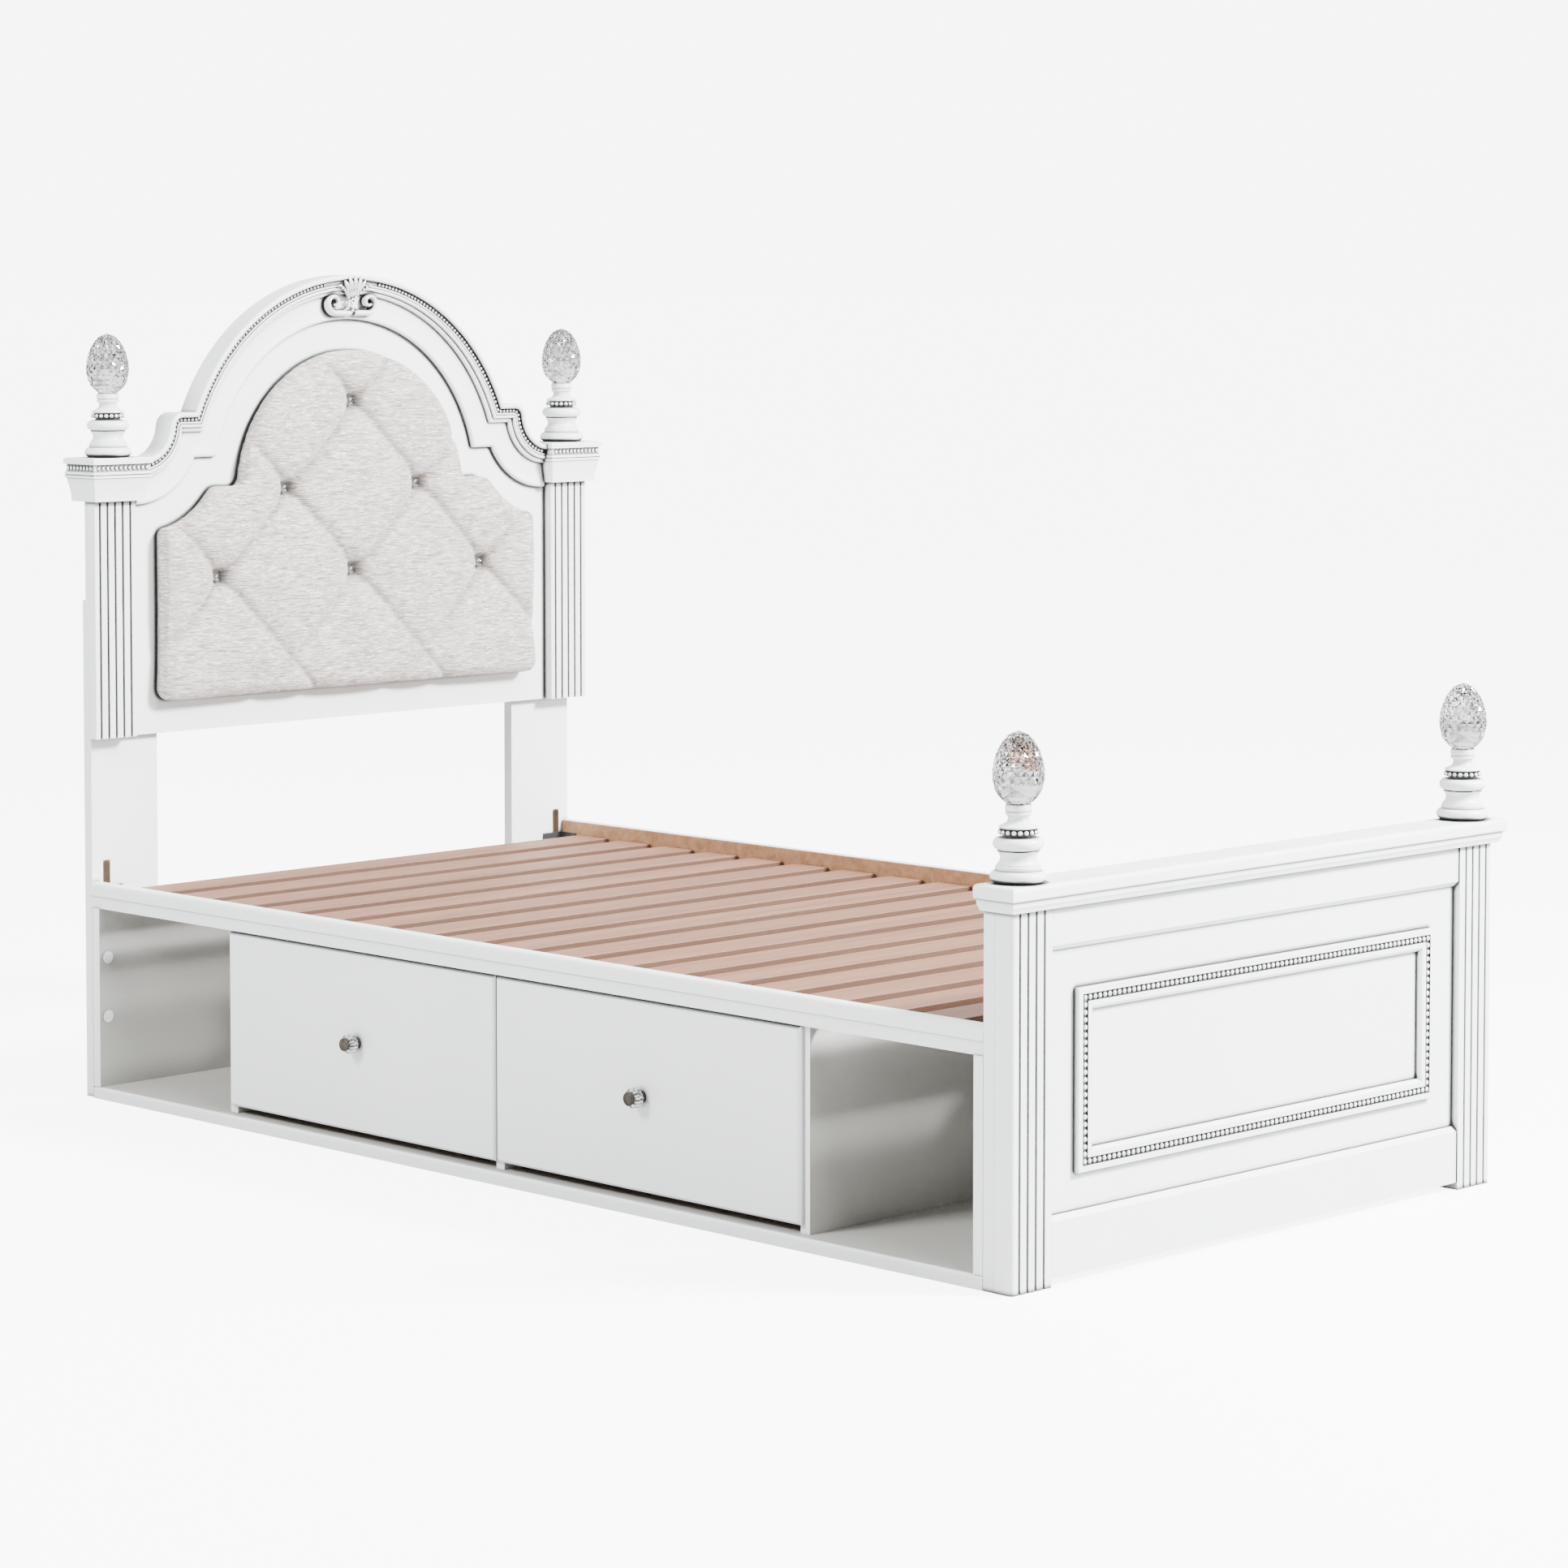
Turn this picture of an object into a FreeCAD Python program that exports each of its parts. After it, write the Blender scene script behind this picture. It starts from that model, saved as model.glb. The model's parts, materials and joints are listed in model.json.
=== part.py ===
"""Wooden twin storage bed: arched, upholstered headboard, panelled footboard,
slatted deck and a drawer unit along one side.  Millimetres, +Z up.

Origin: on the floor, at the middle of the bed's footprint.
+Y runs from the footboard to the headboard, +X to the right seen from the foot,
so the drawers open towards -X.
"""
import FreeCAD, Part
import math
import os

V = FreeCAD.Vector

# ------------------------------------------------------------------ driving sizes
mattress_width = 991.0
mattress_length = 1905.0
side_play = 9.0              # mattress to each side rail
end_play = 17.0              # mattress to footboard and to headboard panel

rail_thick = 18.0
slat_top = 342.0             # height of the deck
slat_thick = 15.0
slat_width = 71.5
slat_count = 17
slat_pitch = 108.57
slat_head_gap = 38.5         # headboard panel to the first slat
slat_end_gap = 3.5           # slat end to rail
far_rail_lip = 22.0          # far rail above the deck
far_rail_height = 215.0
near_rail_lip = 9.0          # near rail above the deck
near_rail_band = 22.0        # height of its proud upper band
near_rail_height = 41.0
step_depth = 3.0             # lower band sits back by this much
ledge_width = 22.0

post_width = 78.0
post_front_depth = 31.0      # face board of each footboard post
stile_depth = 20.0           # stile behind it
post_height = 503.0
post_groove_count = 4
post_groove_pitch = 16.0
top_rail_height = 58.0
bottom_rail_height = 82.0
bottom_rail_clear = 11.0     # gap under the bottom rail
rail_setback = 2.0           # footboard rails behind the post faces
panel_setback = 12.0
footboard_panel_thick = 15.0
frame_side_margin = 56.5     # applied moulding frame to the posts
frame_low_margin = 50.0      # and to the bottom rail
frame_high_margin = 55.0     # and to the top rail
frame_band = 31.0
frame_thick = 9.0
cap_lower_thick = 16.0
cap_upper_thick = 19.0
cap_lower_over = 11.0        # overhang past the posts, front and sides
cap_upper_over = 15.5
cap_back = 5.0               # overhang behind the stiles

leg_width = 132.5
leg_thick = 20.0
leg_height = 807.0
leg_inset = 4.2              # leg's outer face behind the rail's outer face
leg_slot_width = 13.5
leg_slot_inset = 22.0
leg_slot_reach = 42.0        # slot above and below the deck
bracket_drop = 30.0          # rail bracket below the deck
bracket_rise = 1.0           # and above it
head_panel_thick = 15.0
head_panel_low = 585.0
head_panel_over = 8.4        # panel past the legs' outer faces
pilaster_width = 81.0
pilaster_thick = 18.5
pilaster_over = 5.0          # pilaster past the panel's edge
pilaster_groove_count = 5
pilaster_groove_pitch = 15.0
groove_width = 4.6
groove_depth = 3.4

capital_low = 968.0
capital_side = 9.3           # overhang of the capital's foot past the pilaster
capital_front = 15.0
capital_depth = 64.0

arch_centre = 971.0          # height of the arch's centre
arch_inset = 154.0           # swoop's centre to the inner edge of the raised band
shoulder_z = 1033.5
swoop_inset = 91.7           # pilaster's outer face to the swoop's centre
swoop_z = 1090.0
swoop_radius = 130.0
nose_start = 50.0            # outside this offset the shoulder's corner is round
band_outer = 66.0            # offset where the crown's cap board begins
cap_board = 8.0              # thickness of the cap board

cushion_margin = 46.0        # cushion edge inside the raised band
cushion_inset = 35.0         # swoop's centre to the cushion's side
cushion_low = 633.0
cushion_thick = 34.0
button_step = 142.0          # half the tufting diamond, both ways
button_low_row = 835.0
button_radius = 6.5
button_depth = 17.0          # seat of a button above the panel

base_thick = 20.0
storage_depth = 400.0
end_thick = 17.0
unit_head_gap = 6.0          # drawer unit to the headboard legs
divider_thick = 18.0
divider_setback = 17.5       # divider's front edge behind the rail's face
drawer_bay = 611.5           # clear opening for each drawer
back_thick = 9.0

front_lip = 10.0             # lipped edge of a drawer front
front_rebate = 6.0           # part of the front that enters the opening
front_play = 3.0             # rebated part to the opening
front_gap_top = 3.0
front_gap_bottom = 13.0
front_overlay = 7.7
front_bevel = 4.0
box_depth = 350.0
box_wall = 12.0
box_height = 190.0
box_raise = 22.0             # box bottom above the base board
box_bottom_thick = 6.0
runner_space = 12.7          # room for a runner each side
runner_height = 42.0
runner_length = 340.0
runner_member = 5.6
runner_raise = 60.0
drawer_travel = 260.0

fit = 0.5                    # clearance at the ends of bolted boards
ease = 1.5                   # eased edge of a painted board

# ------------------------------------------------------------------ derived places
half_in = mattress_width / 2 + side_play
half_out = half_in + rail_thick
bay_length = mattress_length + 2 * end_play
post_depth = post_front_depth + stile_depth
capital_flare = 9.0
capital_back = capital_depth - capital_front - pilaster_thick + capital_flare
bed_length = cap_upper_over + post_depth + bay_length + capital_back
y_post = -bed_length / 2 + cap_upper_over           # front face of the posts
y_bay = y_post + post_depth                          # footboard's inner face
y_panel = y_bay + bay_length                         # headboard panel's face
y_leg = y_panel + head_panel_thick                   # front face of the legs
y_pilaster = y_panel - pilaster_thick
leg_out = half_out - leg_inset
deck_low = slat_top - slat_thick
near_rail_top = slat_top + near_rail_lip
near_rail_step = near_rail_top - near_rail_band     # underside of the proud band
near_rail_bottom = near_rail_top - near_rail_height
far_rail_top = slat_top + far_rail_lip
leg_slot_low = slat_top - leg_slot_reach
leg_slot_high = slat_top + leg_slot_reach
head_panel_half = leg_out + head_panel_over
pilaster_half = head_panel_half + pilaster_over
swoop_x = pilaster_half - swoop_inset
arch_radius = swoop_x - arch_inset
cushion_half = swoop_x - cushion_inset
inner_half = half_out - post_width                   # between the footboard posts
frame_half_width = inner_half - frame_side_margin
frame_low = bottom_rail_clear + bottom_rail_height + frame_low_margin
frame_high = post_height - top_rail_height - frame_high_margin
storage_front = -half_out
storage_back = storage_front + storage_depth
y_unit_low = y_bay + fit
y_unit_high = y_leg - unit_head_gap
divider_front = storage_front + divider_setback
lip_gap = 0.5                # closed drawer front to the dividers
front_face = divider_front - lip_gap - front_lip
cubby_width = (y_unit_high - y_unit_low - 2 * end_thick - 3 * divider_thick - 2 * drawer_bay) / 2
cap_top = post_height + cap_lower_thick + cap_upper_thick


# ------------------------------------------------------------------ helpers
def block(x0, x1, y0, y1, z0, z1):
    """A plain rectangular solid between two corners."""
    return Part.makeBox(x1 - x0, y1 - y0, z1 - z0, V(x0, y0, z0))


def board(x0, x1, y0, y1, z0, z1, radius=ease):
    """A board with every edge eased."""
    solid = block(x0, x1, y0, y1, z0, z1)
    return solid.makeFillet(radius, solid.Edges)


def polygon_face(points):
    """A planar face through points, closed automatically."""
    wire = Part.makePolygon(list(points) + [points[0]])
    return Part.Face(wire)


def prism(points, along):
    """Extrude a closed polygon of 3-D points by a vector."""
    return polygon_face(points).extrude(along)


def edges_along(solid, axis):
    """Straight edges of a solid that run along one axis."""
    found = []
    for edge in solid.Edges:
        if isinstance(edge.Curve, Part.Line):
            if abs(abs(edge.tangentAt(edge.FirstParameter).dot(axis)) - 1) < 1e-6:
                found.append(edge)
    return found


def near_xz(edge, x, z, reach=0.6):
    """True for an edge along Y that passes through (x, z)."""
    c = edge.CenterOfMass
    return math.hypot(c.x - x, c.z - z) < reach


def export(shape, name):
    """Write one sub-part's STEP file and report its volume."""
    if isinstance(shape, list):
        shape = Part.makeCompound(shape)
    shape.exportStep("parts/" + name + ".step")
    print(name, len(shape.Solids), round(shape.Volume / 1000.0, 1), "cm3", shape.isValid())


def crossed(profile_side, profile_front, x0, x1, y0, y1):
    """A four-sided moulded block: the same edge profile on all four sides, mitred.

    Each profile is a list of (overhang, height); the plan at overhang 0 is the
    rectangle x0..x1, y0..y1.
    """
    far = 2000.0
    right = [V(x1 + e, -far, z) for e, z in profile_side]
    left = [V(x0 - e, -far, z) for e, z in reversed(profile_side)]
    along_y = prism(right + left, V(0, 2 * far, 0))
    back = [V(-far, y1 + e, z) for e, z in profile_front]
    front = [V(-far, y0 - e, z) for e, z in reversed(profile_front)]
    along_x = prism(back + front, V(2 * far, 0, 0))
    return along_y.common(along_x)


def arc_points(centre, radius, start, end, steps):
    """Points along an arc in a profile, angles in degrees."""
    out = []
    for i in range(steps + 1):
        a = math.radians(start + (end - start) * i / steps)
        out.append((centre[0] + radius * math.cos(a), centre[1] + radius * math.sin(a)))
    return out


# ------------------------------------------------------------------ crown outline
def arch_meets_shoulder(o):
    """Corner between the arch and the shoulder at offset o."""
    rise = shoulder_z + o - arch_centre
    return math.sqrt((arch_radius + o) ** 2 - rise ** 2), shoulder_z + o


def shoulder_meets_swoop(o):
    """Corner between the shoulder and the hollow swoop at offset o."""
    radius = swoop_radius - o
    drop = swoop_z - shoulder_z - o
    return swoop_x - math.sqrt(radius ** 2 - drop ** 2), shoulder_z + o


def nose_turn():
    """The nose's centre, and the direction from it to the swoop's centre."""
    x, z = shoulder_meets_swoop(nose_start)
    return x, z, math.atan2(swoop_z - z, swoop_x - x)


def outline_edges(o, x_end):
    """The crown outline at offset o, from -x_end to x_end, as plain edges."""
    x1, z1 = arch_meets_shoulder(o)
    x2, z2 = shoulder_meets_swoop(min(o, nose_start))
    z2 = shoulder_z + o
    x3, z3 = x2, z2
    radius = swoop_radius - o
    low = swoop_z - radius
    nose = max(o - nose_start, 0.0)
    nose_x, nose_z, nose_angle = nose_turn()
    if nose > 0.01:
        x3 = nose_x + nose * math.cos(nose_angle)
        z3 = nose_z + nose * math.sin(nose_angle)
    start = math.atan2(z3 - swoop_z, x3 - swoop_x) % (2 * math.pi)
    middle = (start + 1.5 * math.pi) / 2
    mid = (swoop_x + radius * math.cos(middle), swoop_z + radius * math.sin(middle))
    top = arch_centre + arch_radius + o

    def at(x, z):
        return V(x, 0, z)

    edges = [Part.Arc(at(-x1, z1), at(0, top), at(x1, z1)).toShape()]
    for s in (-1, 1):
        edges.append(Part.LineSegment(at(s * x1, z1), at(s * x2, z2)).toShape())
        if nose > 0.01:
            half = (nose_angle + math.pi / 2) / 2
            over = at(s * (nose_x + nose * math.cos(half)), nose_z + nose * math.sin(half))
            edges.append(Part.Arc(at(s * x2, z2), over, at(s * x3, z3)).toShape())
        edges.append(Part.Arc(at(s * x3, z3), at(s * mid[0], mid[1]), at(s * swoop_x, low)).toShape())
        if x_end > swoop_x + 0.01:
            edges.append(Part.LineSegment(at(s * swoop_x, low), at(s * x_end, low)).toShape())
    return edges, low


def outline_board(o, x_end, z_low, y0, y1):
    """A board whose top edge is the crown outline at offset o."""
    edges, low = outline_edges(o, x_end)
    corners = [V(-x_end, 0, low), V(-x_end, 0, z_low), V(x_end, 0, z_low), V(x_end, 0, low)]
    for a, b in zip(corners, corners[1:]):
        edges.append(Part.LineSegment(a, b).toShape())
    wire = Part.Wire(Part.__sortEdges__(edges))
    face = Part.Face(wire)
    face.translate(V(0, y0, 0))
    return face.extrude(V(0, y1 - y0, 0))


def trim_region(points):
    """A deep prism along Y over a region of the elevation, given as (x, z) points."""
    y0 = y_panel - 200.0
    return prism([V(x, y0, z) for x, z in points], V(0, 400.0, 0))


def locus(corner, low, high, steps=12):
    """The path of a mitre as the offset grows."""
    return [corner(low + (high - low) * i / steps) for i in range(steps + 1)]


def crown_sweep(profile, x_end):
    """Run a moulding profile, a list of (offset, forward), round the crown outline.

    Straight stretches are extruded and round ones revolved, and each is trimmed at
    its mitre, so the profile meets itself exactly.
    """
    low = min(o for o, d in profile)
    high = max(o for o, d in profile)
    mitre_in = locus(arch_meets_shoulder, low, high)
    mitre_out = locus(shoulder_meets_swoop, min(low, nose_start), min(high, nose_start))
    if low >= nose_start:
        mitre_out = [shoulder_meets_swoop(nose_start)]
    above = arch_centre + arch_radius + 300.0
    y_axis = V(0, 1, 0)
    swoop_low = swoop_z - swoop_radius

    def face_at(x, z):
        """The profile drawn at a point, its offset upwards."""
        return polygon_face([V(x, y_panel - d, z + o) for o, d in profile])

    face = face_at(0, arch_centre + arch_radius)
    half_sweep = 85.0
    face.rotate(V(0, 0, arch_centre), y_axis, -half_sweep)
    arch = face.revolve(V(0, 0, arch_centre), y_axis, 2 * half_sweep)
    mirrored = [(-x, z) for x, z in reversed(mitre_in)]
    zone = [(0, arch_centre)] + mitre_in
    zone += [(mitre_in[-1][0], above), (-mitre_in[-1][0], above)] + mirrored
    pieces = [arch.common(trim_region(zone))]

    half = []
    start_x = mitre_in[0][0] - 30.0
    length = mitre_out[-1][0] + 90.0 - start_x
    shoulder = face_at(start_x, shoulder_z).extrude(V(length, 0, 0))
    zone = mitre_in[:]
    nose_x, nose_z, nose_angle = nose_turn()
    if high > nose_start:
        zone.append((nose_x, mitre_in[-1][1]))
    if low > nose_start:
        zone.append((nose_x, shoulder_z + low))
    else:
        zone += list(reversed(mitre_out))
    half.append(shoulder.common(trim_region(zone)))

    swoop_zone = mitre_out[:]
    if high > nose_start:
        tip = high - nose_start
        upper = block(nose_x - 1, nose_x + 1, y_panel - 99, y_panel + 99, nose_z, nose_z + 2 * tip)
        face = face_at(nose_x, shoulder_z).common(upper).Faces[0]
        half.append(face.revolve(V(nose_x, 0, nose_z), y_axis, 90.0 - math.degrees(nose_angle)))
        swoop_zone.append((nose_x + tip * math.cos(nose_angle), nose_z + tip * math.sin(nose_angle)))
    swoop = face_at(swoop_x, swoop_low).revolve(V(swoop_x, 0, swoop_z), y_axis, 100.0)
    swoop_zone += [(swoop_x, swoop_low + high + 5.0), (swoop_x, swoop_low + low - 40.0)]
    swoop_zone.append((mitre_out[0][0] - 30.0, swoop_low + low - 40.0))
    half.append(swoop.common(trim_region(swoop_zone)))
    half.append(face_at(swoop_x, swoop_low).extrude(V(x_end - swoop_x, 0, 0)))
    for piece in half:
        pieces.append(piece)
        pieces.append(piece.mirror(V(0, 0, 0), V(1, 0, 0)))
    body = pieces[0].multiFuse(pieces[1:])
    return body.removeSplitter()


# ------------------------------------------------------------------ headboard
crown_end = pilaster_half - pilaster_width - capital_side + capital_flare
cap_outer = band_outer + cap_board
crown_steps = 10.5           # thickness of the raised band
bead_seat = 20.5             # forward face of the moulding under the beads
crown_bead = 3.4
crown_bead_pitch = 7.4
cap_forward = 30.0
capital_x0 = pilaster_half - pilaster_width - capital_side
capital_x1 = pilaster_half + capital_side
capital_y0 = y_pilaster - capital_front
capital_y1 = capital_y0 + capital_depth
capital_height = 70.0
capital_bead = 3.5
capital_bead_pitch = 8.65
finial_x = (capital_x0 + capital_x1) / 2
finial_y = (capital_y0 + capital_y1) / 2


def capital_profile(grow):
    """(overhang, height) steps of a capital, all pushed out by grow."""
    cove = [(0, 0), (0, 5), (0.8, 14), (2.6, 24), (4.4, 32), (5.5, 38)]
    reeds = [(7.5, 38), (7.5, 41.5), (6.2, 42.5), (7.5, 43.5), (7.5, 48)]
    top = [(5.5, 48), (5.5, 60), (capital_flare, 60), (capital_flare, 67), (6.5, capital_height)]
    return [(e + grow, capital_low + h) for e, h in cove + reeds + top]


def capital(grow=0.0):
    """One capital: a moulded block that caps the pilaster, panel and leg."""
    profile = capital_profile(grow)
    return crossed(profile, profile, capital_x0, capital_x1, capital_y0, capital_y1)


def cope(shape):
    """Cut a crown board to the sides of both capitals, with a hair of clearance."""
    tool = capital(0.25)
    tall = block(capital_x0, capital_x1, capital_y0, capital_y1, capital_low, capital_low + 200)
    tool = tool.fuse(tall)
    return shape.cut(tool).cut(tool.mirror(V(0, 0, 0), V(1, 0, 0)))


def headboard_leg():
    """Right headboard leg, with its hook slot."""
    x1 = leg_out
    leg = board(x1 - leg_width, x1, y_leg, y_leg + leg_thick, 0, leg_height)
    centre = x1 - leg_slot_inset - leg_slot_width / 2
    half = leg_slot_width / 2
    top = leg_slot_high - half
    y0 = y_leg - 1
    slot = block(centre - half, centre + half, y0, y_leg + leg_thick + 1, leg_slot_low, top)
    round_top = Part.makeCylinder(half, leg_thick + 2, V(centre, y0, top), V(0, 1, 0))
    return leg.cut(slot).cut(round_top)


def headboard_panel():
    """The flat back panel that everything on the headboard is fixed to."""
    inner = outline_board(band_outer, capital_x0 + 1, head_panel_low, y_panel, y_leg)
    wings = block(-head_panel_half, head_panel_half, y_panel, y_leg, head_panel_low, capital_low)
    return cope(inner.fuse(wings).removeSplitter())


def pilaster():
    """Right pilaster: a fluted upright strip on the panel's face."""
    x0 = pilaster_half - pilaster_width
    body = board(x0, pilaster_half, y_pilaster, y_panel, head_panel_low, capital_low, 0.8)
    return grooved(body, x0 + pilaster_width / 2, pilaster_groove_count, pilaster_groove_pitch,
                   y_pilaster, head_panel_low, capital_low)


def grooved(body, centre, count, pitch, y_face, z0, z1):
    """Cut upright V grooves into a face that looks towards -Y."""
    for i in range(count):
        x = centre + (i - (count - 1) / 2) * pitch
        half = groove_width / 2
        points = [V(x - half, y_face - 0.01, z0 - 1), V(x + half, y_face - 0.01, z0 - 1)]
        points.append(V(x, y_face + groove_depth, z0 - 1))
        body = body.cut(prism(points, V(0, 0, z1 - z0 + 2)))
    return body


def crown_band():
    """The shallow hollow band that frames the cushion."""
    front = [(0, 7.5), (2.5, 10), (5, crown_steps), (14, 9.4), (24, 9.0), (34, 9.6), (42, crown_steps)]
    profile = [(0, 0)] + front + [(band_outer, crown_steps), (band_outer, 0)]
    return cope(crown_sweep(profile, capital_x0 + 1))


def crown_moulding():
    """The stepped, reeded moulding planted on the band's outer part."""
    steps = [(42, crown_steps), (42, 15), (44, 17.5), (47, 18.5), (49, 18.5)]
    reed = [(49, 21.5), (50.2, 23.6), (52, 24.4), (53.8, 23.6), (54.6, 22.2)]
    reed_small = [(55.4, 23.2), (56.8, 23.8), (58.2, 23), (58.6, bead_seat)]
    profile = steps + reed + reed_small + [(band_outer, bead_seat), (band_outer, crown_steps)]
    return cope(crown_sweep(profile, capital_x0 + 1))


def crown_cap():
    """The cap board bent over the top of the headboard."""
    forward = cap_forward
    back = -head_panel_thick
    mid = band_outer + cap_board / 2
    edge = [(band_outer, forward - 3), (band_outer + 1.5, forward - 0.8), (mid, forward)]
    edge += [(cap_outer - 1.5, forward - 1.5), (cap_outer, forward - 4)]
    profile = edge + [(cap_outer, back), (band_outer, back)]
    return cope(crown_sweep(profile, capital_x0 + 1))


def hemisphere(x, y, z, radius, direction):
    """A round bead whose flat side sits on a face."""
    return Part.makeSphere(radius, V(x, y, z), direction, 0, 90, 360)


def crown_beads():
    """The row of round beads along the crown moulding."""
    line = (58.6 + band_outer) / 2
    edges, low = outline_edges(line, swoop_x)
    wire = Part.Wire(Part.__sortEdges__(edges))
    count = int(wire.Length / crown_bead_pitch)
    beads = []
    for point in wire.discretize(Number=count):
        near_ornament = abs(point.x) < ornament_half
        if not near_ornament and abs(point.x) < capital_x0 - capital_flare - crown_bead:
            beads.append(hemisphere(point.x, y_panel - bead_seat, point.z, crown_bead, V(0, -1, 0)))
    return beads


def capital_beads():
    """Beads round the front and the outer side of both capitals."""
    e = 5.5
    z = capital_low + 54.0
    beads = []
    run = capital_x1 - capital_x0 + 2 * e
    count = int(run / capital_bead_pitch)
    first = (run - (count - 1) * capital_bead_pitch) / 2
    for s in (-1, 1):
        for i in range(count):
            x = s * (capital_x0 - e + first + i * capital_bead_pitch)
            beads.append(hemisphere(x, capital_y0 - e, z, capital_bead, V(0, -1, 0)))
        depth = capital_y1 - capital_y0 + 2 * e
        side = int(depth / capital_bead_pitch)
        lead = (depth - (side - 1) * capital_bead_pitch) / 2
        for i in range(side):
            y = capital_y0 - e + lead + i * capital_bead_pitch
            beads.append(hemisphere(s * (capital_x1 + e), y, z, capital_bead, V(s, 0, 0)))
            if y < y_panel - cap_forward - capital_bead - 1:
                beads.append(hemisphere(s * (capital_x0 - e), y, z, capital_bead, V(-s, 0, 0)))
    return beads


ornament_half = 56.0
ornament_low = arch_centre + arch_radius + 4.0
ornament_high = arch_centre + arch_radius + cap_outer
ornament_seat = cap_forward + 0.5      # face the carving stands in front of
ornament_relief = 9.0
scroll_x = 37.0              # eye of each scroll from the middle
scroll_radius = 13.0
scroll_bar = 4.2
scroll_rise = 22.0


def crown_ornament():
    """The carved leaf between two scrolls that hides the crown's middle joint."""
    y0 = y_panel - ornament_seat
    y1 = y0 - ornament_relief
    top = ornament_high
    low = ornament_low
    tips = [(-20, top - 6), (-10, top - 1.5), (0, top), (10, top - 1.5), (20, top - 6)]
    stem = [(13, top - 30), (6, low + 14), (0, low), (-6, low + 14), (-13, top - 30)]
    leaf = prism([V(x, y0, z) for x, z in tips + stem], V(0, y1 - y0, 0))
    body = leaf
    for s in (-1, 1):
        eye = V(s * scroll_x, y0 - scroll_bar, low + scroll_rise)
        ring = Part.makeTorus(scroll_radius, scroll_bar, eye, V(0, 1, 0))
        boss = Part.makeCylinder(scroll_radius, 3.0, V(eye.x, y0, eye.z), V(0, -1, 0))
        arm = Part.makeCylinder(scroll_bar * 0.85, scroll_x - 8.0, V(s * 8.0, y0 - scroll_bar, eye.z + 10.0),
                                V(s * 1.0, 0, -0.1))
        body = body.fuse(ring).fuse(boss).fuse(arm)
    plate_y = y_panel - crown_steps
    back_low = low + 12.0
    back_high = arch_centre + arch_radius + 38.0
    tongue = block(-5, 5, y0 - 4, plate_y, back_low, back_high)
    body = body.fuse(tongue)
    return body.removeSplitter()


def cushion_outline():
    """Closed outline of the cushion, its corners softened."""
    side = cushion_half
    radius = swoop_radius + cushion_margin
    z_side = swoop_z - math.sqrt(radius ** 2 - (swoop_x - side) ** 2)
    board_shape = outline_board(-cushion_margin, swoop_x + 1, cushion_low, 0, 1)
    keep = block(-side, side, -1, 2, cushion_low - 1, 2000)
    shape = board_shape.common(keep)
    x1, z1 = arch_meets_shoulder(-cushion_margin)
    x2, z2 = shoulder_meets_swoop(-cushion_margin)
    corners = [(x1, z1, 15.0), (x2, z2, 20.0), (side, z_side, 12.0), (side, cushion_low, 20.0)]
    for x, z, r in corners:
        for s in (-1, 1):
            picked = [e for e in edges_along(shape, V(0, 1, 0)) if near_xz(e, s * x, z)]
            if picked:
                shape = shape.makeFillet(r, picked)
    return shape


def button_places():
    """Where the tufting buttons sit, as (x, z)."""
    z = button_low_row
    step = button_step
    places = [(0, z), (0, z + 2 * step)]
    for s in (-1, 1):
        places += [(s * step, z + step), (s * 2 * step, z)]
    return places


def headboard_cushion():
    """The upholstered pad, with a round dimple for each button."""
    outline = cushion_outline()
    front = [f for f in outline.Faces if abs(f.normalAt(0, 0).y) > 0.99][0]
    face = front.copy()
    face.translate(V(0, y_panel - face.CenterOfMass.y, 0))
    pad = face.extrude(V(0, -cushion_thick, 0))
    y_front = y_panel - cushion_thick
    rim = [e for e in pad.Edges if abs(e.CenterOfMass.y - y_front) < 0.01]
    pad = pad.makeFillet(11.0, rim)
    for x, z in button_places():
        depth = cushion_thick - button_depth + 1
        wide = button_radius + 14.0
        dimple = Part.makeCone(wide, button_radius + 1.0, depth, V(x, y_front - 1, z), V(0, 1, 0))
        pad = pad.cut(dimple)
    return pad


def tuft_buttons():
    """Round faceted buttons at the bottom of the dimples."""
    seat = y_panel - button_depth
    buttons = []
    for x, z in button_places():
        rim = Part.makeCylinder(button_radius, 2.5, V(x, seat, z), V(0, -1, 0))
        dome = Part.makeCone(button_radius, button_radius * 0.55, 4.0, V(x, seat - 2.5, z), V(0, -1, 0))
        buttons.append(rim.fuse(dome).removeSplitter())
    return buttons


# ------------------------------------------------------------------ finials
base_rise = 103.0            # height of the turned foot of a finial
crystal_rise = 96.0
crystal_radius = 33.8
finial_bead = 3.5
finial_band_radius = 20.5    # plain band that carries the beads
finial_bead_gap = 0.05
finial_bead_count = 19
finial_bead_rise = 66.8
footboard_finial_x = half_out - post_width / 2
footboard_finial_y = y_post + post_depth / 2


def turned_base(x, y, z):
    """The turned and painted foot of one finial."""
    profile = [(0, 0)]
    profile += arc_points((29.65, 8.25), 8.25, -90, 90, 8)
    profile += [(30.5, 17.5), (29.5, 23), (27.5, 24)]
    profile += arc_points((34.0, 33.0), 10.0, 235, 125, 8)
    profile += arc_points((25.3, 51.5), 8.5, -80, 90, 8)
    profile += [(finial_band_radius, 61), (finial_band_radius, 72.5), (18.5, 73.5)]
    profile += [(16.0, 77), (14.0, 81), (14.5, 86), (17.0, 88), (18.6, 89.5), (18.6, 94)]
    profile += [(17.4, 95), (18.6, 96), (18.6, 101), (16.5, base_rise), (0, base_rise)]
    face = polygon_face([V(x + r, y, z + h) for r, h in profile])
    return face.revolve(V(x, y, 0), V(0, 0, 1), 360)


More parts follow.
